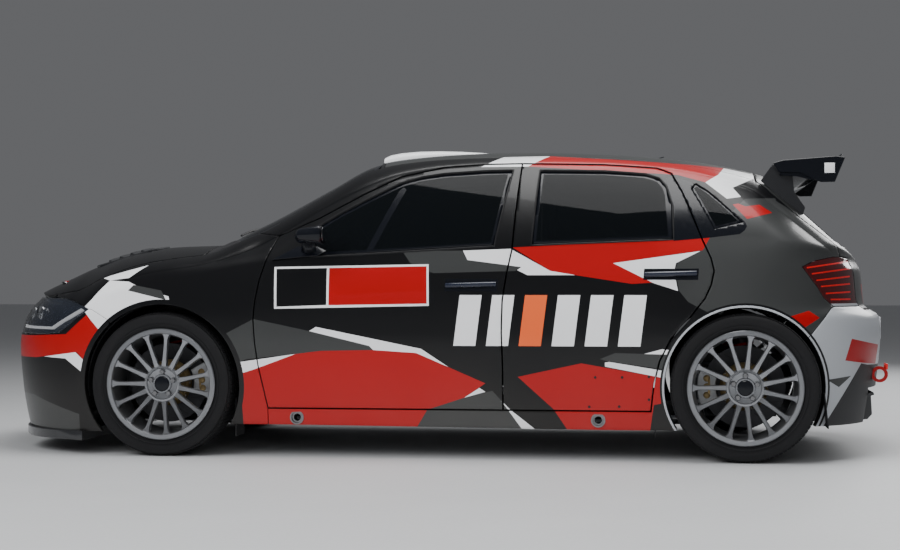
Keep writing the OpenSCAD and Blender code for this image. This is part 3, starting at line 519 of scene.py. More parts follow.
QUARTER = [(1158, 1178), (1180, 1202), (1235, 1165), (1287, 1118), (1380, 1024), (1256, 994)]
SCREEN = [
    (-283, 0), (-278, 150), (-262, 300), (-240, 545), (-400, 580), (-556, 622), (-850, 700),
    (-925, 580), (-955, 460),
    (-970, 350), (-982, 180), (-985, 0)]
ROOF = [(-264, 0), (-259, 150), (-245, 300), (-222, 545), (300, 556), (900, 556), (1440, 548),
    (1440, 0)]
BONNET = [
    (-1008, 0), (-1008, 742), (-1140, 770), (-1278, 788), (-1440, 792), (-1583, 765), (-1690, 722),
    (-1790, 660),
    (-2060, 600), (-2060, 0)]
COWL = [(-1003, 0), (-1003, 738), (-862, 716), (-850, 703), (-926, 581), (-971, 351), (-986, 0)]
HEADLIGHT = [
    (-2060, 534), (-1827, 532), (-1730, 533), (-1648, 540), (-1573, 594), (-1500, 648),
    (-1570, 678), (-1635, 696),
    (-1779, 700), (-2060, 700)]
BUMPER = [
    (-2100, 0), (-1400, 0), (-1400, 593), (-1408, 602), (-1484, 646), (-1500, 648), (-1573, 594),
    (-1648, 540),
    (-1730, 533), (-1827, 532), (-1827, 697), (-2100, 697)]
FENDER = [
    (-664, 975), (-690, 900), (-727, 777), (-744, 680), (-750, 602), (-743, 500), (-729, 400),
    (-689, 214), (-689, 0),
    (-1165, 0), (-1165, 330), (-1408, 602), (-1484, 646), (-1500, 648), (-1570, 678), (-1635, 696),
    (-1700, 704),
    (-1700, 1200), (-1008, 1200), (-860, 1000)]
REAR_BUMPER = [(1500, 0), (1500, 500), (1640, 520), (1752, 655), (1765, 662), (2100, 664),
    (2100, 0)]
TAILLIGHT = [(1626, 832), (1677, 858), (1768, 877), (2100, 880), (2100, 664), (1765, 662),
    (1720, 700), (1691, 747)]
TAILGATE = [
    (0, 1330), (552, 1320), (566, 1200), (590, 1120), (612, 1060), (628, 935), (606, 880),
    (520, 872), (520, 690),
    (480, 648), (0, 648)]
REAR_GLASS = [(0, 1228), (470, 1222), (500, 1180), (556, 1050), (572, 950), (540, 925), (0, 925)]
FRONT_ARCH = circle(FRONT_X, HUB_Z, 352, 96)
REAR_ARCH = circle(REAR_X, HUB_Z, 342, 96)


# ---- Mesh helpers ------------------------------------------------------------------------------


def to_object(name: str, bm: bmesh.types.BMesh, finishes: Sequence[Finish],
        sharp: float = 32.0) -> bpy.types.Object:
    """Makes an object of a finished bmesh.

    Args:
        name: The piece's name.
        bm: The mesh, in metres; it is freed.
        finishes: One finish for each material index.
        sharp: The angle in degrees past which an edge stays sharp.

    Returns:
        The object, at the origin.
    """
    bm.normal_update()
    for face in bm.faces:
        face.smooth = True
    limit = math.radians(sharp)
    for edge in bm.edges:
        edge.smooth = not (len(edge.link_faces) == 2 and edge.calc_face_angle(0.0) > limit)
    mesh = bpy.data.meshes.new(name)
    bm.to_mesh(mesh)
    bm.free()
    for finish in finishes:
        mesh.materials.append(finish.material())
    obj = bpy.data.objects.new(name, mesh)
    bpy.context.scene.collection.objects.link(obj)
    return obj


@dataclass
class Region:
    """An outline carried straight through the car, and how far out it starts."""

    points: Points
    view: View = View.SIDE
    axis: int = 1
    past: float = 0.0

    def cut(self, bm: bmesh.types.BMesh) -> None:
        """Cuts a mesh along the outline."""
        i, j = self.view.value
        flat = np.array([(f.calc_center_median()[i], f.calc_center_median()[j]) for f in bm.faces])
        reach = max((f.calc_perimeter() for f in bm.faces), default=0.0) / 2 + 0.002
        faces = list(bm.faces)
        for (x0, y0), (x1, y1) in zip(self.points, list(self.points[1:]) + [self.points[0]]):
            a, b = np.array((x0, y0)) * MM, np.array((x1, y1)) * MM
            length = float(np.hypot(*(b - a)))
            if length < 1e-6 or not len(flat):
                continue
            t = (b - a) / length
            n = np.array((t[1], -t[0]))
            along, off = (flat - a) @ t, (flat - a) @ n
            beside = (along > -reach) & (along < length + reach) & (np.abs(off) < reach)
            near = np.nonzero(beside)[0]
            todo = [faces[k] for k in near if faces[k].is_valid]
            chosen = []
            for f in todo:
                s = [((v.co[i] - a[0]) * t[0] + (v.co[j] - a[1]) * t[1]) for v in f.verts]
                d = [((v.co[i] - a[0]) * n[0] + (v.co[j] - a[1]) * n[1]) for v in f.verts]
                if max(s) > -1e-3 and min(s) < length + 1e-3 and min(d) < -1e-7 and max(d) > 1e-7:
                    chosen.append(f)
            if chosen:
                fresh = plane_cut(bm, chosen, {i: a[0], j: a[1]}, {i: n[0], j: n[1]})
                old = set(faces)
                fresh = [f for f in fresh if f not in old]
                if fresh:
                    faces += fresh
                    more = [(f.calc_center_median()[i], f.calc_center_median()[j]) for f in fresh]
                    flat = np.vstack([flat, np.array(more)])
        if self.past:
            for sign in (-1, 1):
                plane_cut(bm, list(bm.faces), {self.axis: sign * self.past * MM}, {self.axis: 1.0})

    def faces(self, bm: bmesh.types.BMesh) -> list[bmesh.types.BMFace]:
        """Returns the faces whose middles lie in the region."""
        i, j = self.view.value
        faces = list(bm.faces)
        if not faces:
            return []
        spots = np.array([f.calc_center_median() for f in faces]) / MM
        x, y = spots[:, i], spots[:, j]
        hit = np.zeros(len(faces), bool)
        for (x0, y0), (x1, y1) in zip(self.points, list(self.points[1:]) + [self.points[0]]):
            if y0 != y1:
                hit ^= ((y0 > y) != (y1 > y)) & (x < (x1 - x0) * (y - y0) / (y1 - y0) + x0)
        hit &= np.abs(spots[:, self.axis]) >= self.past
        return [f for f, h in zip(faces, hit) if h]

    def overlaps(self, low: np.ndarray, high: np.ndarray) -> bool:
        """Tells whether the outline's box meets a mesh's box."""
        own = np.array(self.points)
        axes = list(self.view.value)
        return bool(np.all(own.max(0) > low[axes]) and np.all(own.min(0) < high[axes]))


def from_above(half: Points, by: float) -> Region:
    """Returns the region of a half outline seen from above, moved outwards and mirrored."""
    return Region(both(grown(half, by), False), View.TOP)


def outboard(y: float) -> Region:
    """Returns all that lies to the left of a plane at y."""
    return Region([(-2100, -y), (2100, -y), (2100, -1000), (-2100, -1000)], View.TOP)


def plane_cut(
    bm: bmesh.types.BMesh, faces: list[bmesh.types.BMFace], at: dict[int, float],
    normal: dict[int, float]
) -> list[bmesh.types.BMFace]:
    """Bisects some faces with a plane.

    Args:
        bm: The mesh.
        faces: The faces to cut.
        at: The plane's point, by axis.
        normal: The plane's normal, by axis.

    Returns:
        The faces there afterwards.
    """
    co, no = [0.0] * 3, [0.0] * 3
    for k, value in at.items():
        co[k] = value
    for k, value in normal.items():
        no[k] = value
    edges = {e for f in faces for e in f.edges}
    verts = {v for f in faces for v in f.verts}
    cut = bmesh.ops.bisect_plane(bm, geom=[*verts, *edges, *faces], dist=1e-6, plane_co=co,
        plane_no=no)
    return [g for g in cut["geom"] if isinstance(g, bmesh.types.BMFace)]


@dataclass
class Patch:
    """One colour field of the livery."""

    finish: Finish
    region: Region


@dataclass
class Skin:
    """A stretch of body surface, cut to an outline and given its thickness."""

    name: str
    mapping: Callable[..., np.ndarray]
    span: tuple[float, float, float, float]
    steps: tuple[int, int]
    keep: list[Region] = field(default_factory=list)
    drop: list[Region] = field(default_factory=list)
    patches: list[Patch] = field(default_factory=list)
    sunk: float = 0.0
    thickness: float = 26.0
    base: Finish = BLACK
    rim: Finish = BLACK
    edge: float = 1.2
    mirror: bool = False

    def surface(self) -> tuple[bmesh.types.BMesh, list[Finish]]:
        """Returns the cut and painted surface, in metres and facing outwards, and its finishes."""
        bm = bmesh.new()
        nu, nv = self.steps
        bmesh.ops.create_grid(bm, x_segments=nu, y_segments=nv, size=0.5)
        u0, u1, v0, v1 = self.span
        at = np.array([v.co[:2] for v in bm.verts])
        spots = self.mapping(u0 + (at[:, 0] + 0.5) * (u1 - u0), v0 + (at[:, 1] + 0.5) * (v1 - v0),
            self.sunk) * MM
        for v, spot in zip(bm.verts, spots):
            v.co = spot
        bmesh.ops.remove_doubles(bm, verts=bm.verts, dist=2e-5)
        for region in self.keep:
            region.cut(bm)
            kept = set(region.faces(bm))
            bmesh.ops.delete(bm, geom=[f for f in bm.faces if f not in kept], context="FACES")
        for region in self.drop:
            region.cut(bm)
            bmesh.ops.delete(bm, geom=region.faces(bm), context="FACES")
        finishes = [self.base]
        spots = np.array([v.co for v in bm.verts]) / MM
        low, high = spots.min(0), spots.max(0)
        for patch in self.patches:
            if patch.region.overlaps(low, high):
                patch.region.cut(bm)
                if patch.finish not in finishes:
                    finishes.append(patch.finish)
                for f in patch.region.faces(bm):
                    f.material_index = finishes.index(patch.finish)
        bmesh.ops.dissolve_degenerate(bm, edges=bm.edges, dist=5e-5)
        bm.normal_update()
        middle = Vector((spots[:, 0].mean() * MM * 0.7, 0, 0.6))
        lean = sum((f.calc_center_median() - middle).dot(f.normal) * f.calc_area()
            for f in bm.faces)
        if lean < 0:
            bmesh.ops.reverse_faces(bm, faces=bm.faces)
        return bm, finishes

    def build(self) -> bpy.types.Object:
        """Returns the closed piece."""
        bm, finishes = self.surface()
        if self.mirror:
            bmesh.ops.scale(bm, vec=(1, -1, 1), verts=bm.verts)
            bmesh.ops.reverse_faces(bm, faces=bm.faces)
        obj = to_object(self.name, bm, [*finishes, self.rim])
        wall = obj.modifiers.new("wall", "SOLIDIFY")
        wall.thickness = self.thickness * MM
        wall.offset = -1.0
        wall.use_rim = True
        wall.material_offset = len(finishes)
        wall.material_offset_rim = len(finishes)
        if self.edge:
            bevel = obj.modifiers.new("edge", "BEVEL")
            bevel.width = self.edge * MM
            bevel.segments = 1
            bevel.limit_method = "ANGLE"
            bevel.angle_limit = math.radians(60)
        return obj


# ---- Livery ------------------------------------------------------------------------------------

SILVER = paint("paint_silver", (0.44, 0.46, 0.49))


def fields(finish: Finish, *outlines: Points) -> list[Patch]:
    """Returns side-view colour fields of one finish."""
    return [Patch(finish, Region(points)) for points in outlines]


def bars() -> list[Patch]:
    """Returns the slanted bars that fill the doors, the third one orange."""
    out = []
    for k in range(6):
        x = 135 + 142 * k
        outline = [(x, 492), (x + 96, 492), (x + 124, 712), (x + 28, 712)]
        out += fields(ORANGE if k == 2 else WHITE, outline)
    return out


# How every pane of glass sits and is finished.
PANE = {"sunk": 6.0, "thickness": 5.0, "base": GLOSS_BLACK, "rim": TINT, "edge": 0.0}
LIVERY = [
    *fields(
        SLATE,
        [(-873, 540), (-747, 606), (-501, 554), (-235, 490), (-217, 468), (-452, 467), (-563, 453),
        (-779, 430), (-810, 417)],
        [(182, 267), (304, 298), (343, 255), (451, 100), (-49, 100), (19, 213)],
        [(-94, 905), (169, 905), (195, 864), (425, 833), (404, 816), (47, 807), (-50, 842)],
        [(769, 438), (833, 464), (1064, 459), (1041, 397), (807, 426)],
        [(1219, 945), (1101, 853), (1088, 823), (1105, 730), (1143, 683), (1231, 636), (1231, 500),
        (1640, 500), (1760, 655),
         (2000, 664), (2000, 900), (1547, 1138), (1391, 1130), (1300, 1040), (1256, 985)],
        [(-2060, 258), (-1816, 258), (-1549, 180), (-1549, 100), (-2060, 100)],
    ),
    *fields(
        RED,
        [(-806, 366), (-743, 386), (-563, 453), (-452, 467), (-217, 472), (-28, 460), (274, 330),
        (182, 267), (19, 213),
         (-49, 100), (-800, 100)],
        [(415, 359), (688, 419), (1037, 359), (1028, 248), (998, 243), (977, 100), (649, 100),
        (567, 222)],
        [(391, 918), (1236, 958), (1206, 904), (825, 849), (961, 798), (1033, 768), (906, 760),
        (662, 798), (555, 816)],
        [(1336, 1104), (1361, 1108), (1391, 1095), (1452, 1104), (1507, 1068), (1396, 1039)],
        [(-2060, 522), (-1808, 527), (-1612, 536), (-1480, 646), (-1418, 602), (-1510, 412),
        (-1556, 456), (-1789, 428),
         (-2060, 424)],
        [(442, 1283), (532, 1336), (1308, 1280), (1276, 1236), (1221, 1205), (1100, 1240)],
        [(1563, 620), (1652, 646), (1698, 616), (1632, 574)],
    ),
    *fields(
        WHITE,
        [(-810, 417), (-563, 453), (-743, 386), (-806, 366)],
        [(-501, 554), (-470, 572), (-6, 478), (113, 400), (-28, 460), (-217, 472), (-235, 490)],
        [(248, 310), (274, 293), (182, 267)],
        [(343, 255), (382, 216), (529, 100), (455, 100)],
        [(790, 423), (807, 426), (1037, 390), (1037, 359), (790, 406)],
        [(956, 461), (1033, 482), (1071, 478), (1064, 459)],
        [(174, 905), (382, 912), (555, 816), (662, 798), (456, 798), (412, 820), (430, 833),
        (195, 864)],
        [(825, 849), (1195, 900), (1092, 849), (1084, 815), (1100, 730), (995, 764)],
        [(-1737, 433), (-1561, 456), (-1507, 409), (-1515, 358), (-1614, 427)],
        [(-1530, 650), (-1416, 776), (-1316, 770), (-1250, 740), (-1130, 705), (-1120, 660),
        (-1233, 660), (-1400, 560),
         (-1450, 560)],
        [(-1467, 787), (-1246, 844), (-1320, 787), (-1416, 776)],
        [(231, 1283), (325, 1332), (532, 1336), (442, 1283)],
        [(1221, 1205), (1278, 1241), (1308, 1280), (1465, 1248), (1426, 1222), (1339, 1181),
        (1373, 1139), (1312, 1130)],
    ),
    *fields(SLATE, [(-1317, 731), (-1292, 756), (-1164, 731), (-1141, 689)]),
    *fields(WHITE, [(-660, 835), (25, 846), (28, 665), (-656, 651)]),
    *fields(BLACK, [(-650, 826), (-425, 830), (-425, 668), (-646, 660)]),
    *fields(RED, [(-415, 830), (16, 837), (19, 674), (-415, 667)]),
    *bars(),
    *fields(BLACK, [(1339, 1181), (1456, 1235), (1547, 1138), (1391, 1130)],
            [(1528, 1146), (1672, 1072), (1824, 932), (1900, 872), (1880, 844), (1790, 922),
            (1664, 1044), (1528, 1124)],
            circle(FRONT_X, HUB_Z, 374), circle(REAR_X, HUB_Z, 360)),
    *fields(SILVER, circle(REAR_X, HUB_Z, 351)),
    *fields(GLOSS_BLACK, [(1050, 1222), (1074, 1232), (1143, 1214), (1194, 1184), (1270, 1128),
    (1338, 1076), (1388, 1024),
                          (1394, 1007), (1385, 990), (1363, 973), (1219, 956), (1082, 944),
                          (1074, 1110)]),
]
REAR_LIVERY = [
    *fields(PLASTIC, [(1714, 150), (1891, 415), (1924, 407), (2060, 400), (2060, 150)]),
    *fields(RED, [(1844, 524), (1990, 490), (1975, 405), (1813, 431)]),
    *fields(SLATE, [(1686, 734), (1752, 652), (1714, 622)],
    [(1730, 351), (1842, 364), (1784, 318)]),
    *fields(BLACK, circle(REAR_X, HUB_Z, 360)),
    *fields(SILVER, circle(REAR_X, HUB_Z, 351)),
]


# ---- Small solids ------------------------------------------------------------------------------


class Shape:
    """A piece built up from simple solids, in millimetres.

    Each solid is moved by the shape's pose as it is added.
    """

    def __init__(self, name: str) -> None:
        """Starts an empty piece."""
        self.name = name
        self.bm = bmesh.new()
        self.finishes: list[Finish] = []
        self.pose = Matrix.Identity(4)

    def take(self, part: bmesh.types.BMesh, finish: Finish) -> None:
        """Adds a finished solid, in one finish, and frees it.

        Args:
            part: The solid.
            finish: Its finish.
        """
        if finish not in self.finishes:
            self.finishes.append(finish)
        index = self.finishes.index(finish)
        bmesh.ops.recalc_face_normals(part, faces=part.faces)
        for f in part.faces:
            f.material_index = index
        bmesh.ops.transform(part, matrix=self.pose, verts=part.verts)
        mesh = bpy.data.meshes.new("part")
        part.to_mesh(mesh)
        part.free()
        self.bm.from_mesh(mesh)
        bpy.data.meshes.remove(mesh)

    def box(
        self, finish: Finish, at: Sequence[float], size: Sequence[float], bevel: float = 2.0,
        turn: Euler | None = None
    ) -> None:
        """Adds a box with broken edges.

        Args:
            finish: Its finish.
            at: Its middle.
            size: Its three sides.
            bevel: How much its edges are broken.
            turn: How it is turned about its middle.
        """
        part = bmesh.new()
        bmesh.ops.create_cube(part, size=1.0, matrix=Matrix.Diagonal((*size, 1.0)))
        if bevel:
            bmesh.ops.bevel(part, geom=list(part.edges), offset=bevel, segments=2, affect="EDGES",
                profile=0.5, material=-1)
        turned = turn.to_matrix().to_4x4() if turn else Matrix.Identity(4)
        bmesh.ops.transform(part, matrix=Matrix.Translation(at) @ turned, verts=part.verts)
        self.take(part, finish)

    def prism(self, finish: Finish, corners: Sequence[Sequence[float]], along: Sequence[float],
            bevel: float = 1.0) -> None:
        """Adds a flat outline pushed along a vector.

        Args:
            finish: Its finish.
            corners: The outline's corners in space.
            along: The push.
            bevel: How much the edges are broken.
        """
        part = bmesh.new()
        face = part.faces.new([part.verts.new(c) for c in corners])
        pushed = bmesh.ops.extrude_face_region(part, geom=[face], use_keep_orig=True)["geom"]
        bmesh.ops.translate(part, vec=Vector(along),
            verts=[g for g in pushed if isinstance(g, bmesh.types.BMVert)])
        bmesh.ops.recalc_face_normals(part, faces=part.faces)
        if bevel:
            sharp = [e for e in part.edges if len(e.link_faces) == 2
                and e.calc_face_angle(0.0) > 0.6]
            bmesh.ops.bevel(part, geom=sharp, offset=bevel, segments=1, affect="EDGES", profile=0.5,
                material=-1)
        self.take(part, finish)

    def rings(self, finish: Finish, loops: Sequence[Sequence[Sequence[float]]],
            closed: bool = False, caps: bool = True) -> None:
        """Adds a skin over a row of loops of equal length.

        Args:
            finish: Its finish.
            loops: The loops' corners.
            closed: Whether the last loop joins the first.
            caps: Whether the ends are covered.
        """
        part = bmesh.new()
        rows = [[part.verts.new(p) for p in loop] for loop in loops]
        pairs = list(zip(rows, rows[1:])) + ([(rows[-1], rows[0])] if closed else [])
        for a, b in pairs:
            for k in range(len(a)):
                m = (k + 1) % len(a)
                part.faces.new((a[k], a[m], b[m], b[k]))
        if caps and not closed:
            part.faces.new(list(reversed(rows[0])))
            part.faces.new(rows[-1])
        self.take(part, finish)

    def tube(self, finish: Finish, path: Sequence[Sequence[float]], r: float, sides: int = 12,
            closed: bool = False) -> None:
        """Adds a round tube along a path.

        Args:
            finish: Its finish.
            path: The middles of its rings.
            r: Its radius.
            sides: How many sides it has.
            closed: Whether the path is a loop.
        """
        spots = [Vector(p) for p in path]
        count = len(spots)
        loops = []
        up = None
        for k, p in enumerate(spots):
            before = spots[k - 1] if (k or closed) else p
            after = spots[(k + 1) % count] if (k + 1 < count or closed) else p
            t = (after - before).normalized()
            if up is None:
                up = Vector((0, 0, 1)) if abs(t.z) < 0.9 else Vector((1, 0, 0))
            side = t.cross(up).normalized()
            up = side.cross(t).normalized()
            loops.append([p + side * (r * math.cos(a)) + up * (r * math.sin(a))
                for a in arcs(sides)])
        self.rings(finish, loops, closed=closed)

    def lathe(self, finish: Finish, profile: Points, steps: int = 64,
            raised: Callable | None = None) -> None:
        """Adds a closed (radius, height) profile spun about the local Z axis.

        Args:
            finish: Its finish.
            profile: The profile, in order round it.
            steps: How many steps a turn has.
            raised: Picks the faces that stand up as blocks.
        """
        part = bmesh.new()
        verts = [part.verts.new((r, 0, z)) for r, z in profile]
        edges = [part.edges.new((a, b)) for a, b in zip(verts, verts[1:] + verts[:1])]
        bmesh.ops.spin(part, geom=[*verts, *edges], cent=(0, 0, 0), axis=(0, 0, 1),
            angle=2 * math.pi, steps=steps, use_merge=True)
        bmesh.ops.remove_doubles(part, verts=part.verts, dist=1e-3)
        bmesh.ops.recalc_face_normals(part, faces=part.faces)
        if raised:
            bmesh.ops.inset_individual(part, faces=[f for f in part.faces if raised(f)],
                thickness=2.0, depth=5.5)
        self.take(part, finish)

    def ball(self, finish: Finish, at: Sequence[float], radii: Sequence[float],
            fine: int = 16) -> None:
        """Adds a ball, stretched to three radii."""
        part = bmesh.new()
        stretched = Matrix.Translation(at) @ Matrix.Diagonal((*radii, 1.0))
        bmesh.ops.create_uvsphere(part, u_segments=fine * 2, v_segments=fine, radius=1.0,
            matrix=stretched)
        self.take(part, finish)

    def hull(self, finish: Finish,
            balls: Sequence[tuple[Sequence[float], Sequence[float]]]) -> None:
        """Adds the tight cover of several balls, given as (middle, radii)."""
        cloud = bmesh.new()
        for at, radii in balls:
            stretched = Matrix.Translation(at) @ Matrix.Diagonal((*radii, 1.0))
            bmesh.ops.create_uvsphere(cloud, u_segments=28, v_segments=16, radius=1.0,
                matrix=stretched)
        part = bmesh.new()
        for v in cloud.verts:
            part.verts.new(v.co)
        cloud.free()
        bmesh.ops.convex_hull(part, input=list(part.verts))
        bmesh.ops.delete(part, geom=[v for v in part.verts if not v.link_faces], context="VERTS")
        self.take(part, finish)

    def place(self, matrix: Matrix) -> Shape:
        """Moves the whole piece and returns it."""
        bmesh.ops.transform(self.bm, matrix=matrix, verts=self.bm.verts)
        return self

    def flipped(self, wanted: bool) -> Shape:
        """Mirrors the piece across the car's middle, if wanted, and returns it."""
        if wanted:
            self.place(Matrix.Diagonal((1, -1, 1, 1)))
            bmesh.ops.reverse_faces(self.bm, faces=self.bm.faces)
        return self

    def doubled(self) -> Shape:
        """Adds the mirror image across the car's middle and returns the piece."""
        mesh = bpy.data.meshes.new("half")
        self.bm.to_mesh(mesh)
        self.flipped(True)
        self.bm.from_mesh(mesh)
        bpy.data.meshes.remove(mesh)
        return self

    def object(self, sharp: float = 35.0) -> bpy.types.Object:
        """Returns the finished piece, at the origin."""
        bmesh.ops.scale(self.bm, vec=(MM, MM, MM), verts=self.bm.verts)
        return to_object(self.name, self.bm, self.finishes, sharp)


def arcs(count: int) -> list[float]:
    """Returns the angles of a full turn in equal steps."""
    return [2 * math.pi * k / count for k in range(count)]


def flank_point(x: float, z: float, out: float = 0.0) -> Vector:
    """Returns the place on the left flank at x and z, pushed out."""
    xs, zs = np.array([x], float), np.array([z], float)
    y = min(FORM.long_y(xs, zs)[0], FORM.plan_y(xs, zs)[0])
    return Vector((x, -(y + out), z))


def crown_point(x: float, y: float, out: float = 0.0) -> Vector:
    """Returns the place on the car's top at x and y, pushed up."""
    spot = FORM.crown(np.array([x], float), np.array([y], float))[0]
    return Vector((x, y, spot[2] + out))


class Assembly:
    """A group of pieces that move together."""

    body = "body"

    def add(self, piece: Shape | Skin, nodes: Sequence[str], slot: str,
            body: str = "") -> bpy.types.Object:
        """Makes a piece, ties it to its body and hides the CAD nodes that it stands for.

        Args:
            piece: What to make.
            nodes: The CAD nodes that it stands for.
            slot: The record's material slot; not used.
            body: The body it rides on, if not the assembly's own.

        Returns:
            The piece.
        """
        obj = piece.object() if isinstance(piece, Shape) else piece.build()
        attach(obj, body or self.body)
        if nodes:
            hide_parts(*nodes)
        return obj


# ---- Doors -------------------------------------------------------------------------------------


@dataclass(frozen=True)
class DoorSize:
    """Where one door's own parts are, in millimetres."""

    x0: float
    x1: float
    outline: Points
    window: Points
    handle: tuple[float, float, float, float]
    divider: tuple[Points, ...]
    skin: float = 26.0
    liner: float = 20.0


FRONT = DoorSize(
    -756, 422, FRONT_DOOR, FRONT_WINDOW, (103, 317, 734, 773),
    ([(-262, 890), (-128, 1175), (-112, 1190), (-96, 1180), (-232, 890)],))
REAR = DoorSize(
    338, 1260, REAR_DOOR, REAR_WINDOW, (961, 1177, 783, 817),
    ([(1062, 940), (1040, 1200), (1075, 1190), (1085, 940)],))


class Door(Assembly):
    """One side door with its glass, handle and inner panel."""

    def __init__(self, size: DoorSize, name: str, mirror: bool) -> None:
        """Keeps which door this is."""
        self.size = size
        self.name = name
        self.mirror = mirror
        self.body = f"{name}_door"

    def build(self) -> None:
        """Builds the painted skin and the glass."""
        s = self.size
        span = (s.x0, s.x1, -0.36, 0.78)
        steps = (int((s.x1 - s.x0) / 13), 96)
        x0, x1, z0, z1 = s.handle
        recess = [(x0 - 8, z0 - 6), (x1 + 8, z0 - 6), (x1 + 12, z1 + 8), (x0 - 4, z1 + 8)]
        skin = Skin(
            f"{self.name}_door_skin", FORM.side, span, steps, keep=[Region(grown(s.outline, -3.5))],
            drop=[Region(s.window), Region(both(grown_roof(7), False), View.TOP),
            Region(FRONT_ARCH), Region(REAR_ARCH)],
            patches=[*LIVERY, *fields(GLOSS_BLACK, recess)], thickness=s.skin, mirror=self.mirror)
        self.add(skin, [f"{self.name}_door"], "dark_paint")
        glass = Skin(
            f"{self.name}_pane", FORM.side, (s.x0, s.x1, 0.24, 0.64), (44, 26),
            keep=[Region(grown(s.window, -1.0))],
            patches=[*fields(TINT, grown(s.window, -16)), *fields(GLOSS_BLACK, *s.divider)], **PANE,
            mirror=self.mirror)
        self.add(glass, [f"{self.name}_glass"], "glass")

    def dress(self) -> None:
        """Adds the inner panel, the window seal and the handle."""
        s = self.size
        liner = Skin(
            f"{self.name}_door_liner", FORM.side, (s.x0, s.x1, -0.33, 0.72), (60, 60),
            keep=[Region(grown(s.outline, -24))],
            drop=[Region(grown(s.window, 12)), Region(both(grown_roof(26), False), View.TOP),
                  Region(circle(FRONT_X, HUB_Z, 372)), Region(circle(REAR_X, HUB_Z, 362))],
            sunk=s.skin + 1, thickness=s.liner, base=CARBON, rim=CARBON, mirror=self.mirror)
        self.add(liner, [f"{self.name}_door"], "carbon")
        trim = Shape(f"{self.name}_handle")
        x0, x1, z0, z1 = s.handle
        mid = (z0 + z1) / 2
        path = [flank_point(x0 + (x1 - x0) * t, mid + 6 * t,
            12 * math.sin(math.pi * min(1, max(0, t))) ** 0.4 - 3)
                for t in np.linspace(0, 1, 13)]
        trim.tube(NAVY, path, 11, 16)
        self.add(trim.flipped(self.mirror), [], "plastic")
        seal = Shape(f"{self.name}_window_seal")
        outline = grown(s.window, 3)
        dense = [tuple(Vector(a).lerp(Vector(b), t)) for a,
            b in zip(outline, outline[1:] + outline[:1])
                 for t in np.linspace(0, 1, max(2, int((Vector(b) - Vector(a)).length / 40)),
                 endpoint=False)]
        seal.tube(SEAL, [flank_point(x, z, -2.0) for x, z in dense], 4.5, 8, closed=True)
        self.add(seal.flipped(self.mirror), [], "plastic")


class Mirror(Assembly):
    """A door mirror on its triangular foot."""

    def __init__(self, name: str, mirror: bool) -> None:
        """Keeps which mirror this is."""
        self.name = name
        self.mirror = mirror
        self.body = f"front_{name}_door"

    def build(self) -> None:
        """Builds the housing, its glass and its stalk."""
        piece = Shape(f"{self.name}_mirror_housing")
        piece.hull(GLOSS_BLACK, [
            ((-520, -945, 966), (30, 34, 30)), ((-430, -940, 970), (16, 34, 40)),
            ((-510, -1006, 972), (22, 27, 26)),
            ((-430, -1012, 976), (14, 27, 36))])
        piece.hull(CHROME, [((-414, -948, 971), (3, 26, 32)), ((-414, -1006, 976), (3, 24, 28))])
        foot = [(-672, 866), (-560, 925), (-470, 925), (-430, 905), (-470, 884)]
        piece.prism(GLOSS_BLACK, [flank_point(x, z, -2) for x, z in foot], (0, -14, 0), 2.0)
        piece.hull(GLOSS_BLACK,
            [((-505, -868, 905), (34, 10, 13)), ((-490, -940, 946), (30, 12, 11))])
        self.add(piece.flipped(self.mirror), [f"{self.name}_mirror"], "plastic")


def grown_roof(by: float) -> list[tuple[float, float]]:
    """Returns the roof's half outline, wider by some millimetres."""
    return [(x, y + by if y > 100 else y) for x, y in ROOF]


# ---- Front -------------------------------------------------------------------------------------

OPENINGS = (
    Region([(-400, 548), (400, 548), (400, 648), (-400, 648)], View.BACK),
    Region([(-520, 215), (520, 215), (480, 420), (-480, 420)], View.BACK),
)


def nose_point(y: float, z: float, back: float = 0.0) -> Vector:
    """Returns the place on the nose at y and z, pushed back into the car."""
    w = float(FORM.flank_y(np.array([z]))[0])
    end = float(FORM.nose_x(np.array([z]))[0]) - FORM.corner_x
    reach = (1 - min(1.0, abs(y) / w) ** FORM.corner_power) ** (1 / FORM.corner_power)
    return Vector((-(FORM.corner_x + end * reach) + back, y, z))


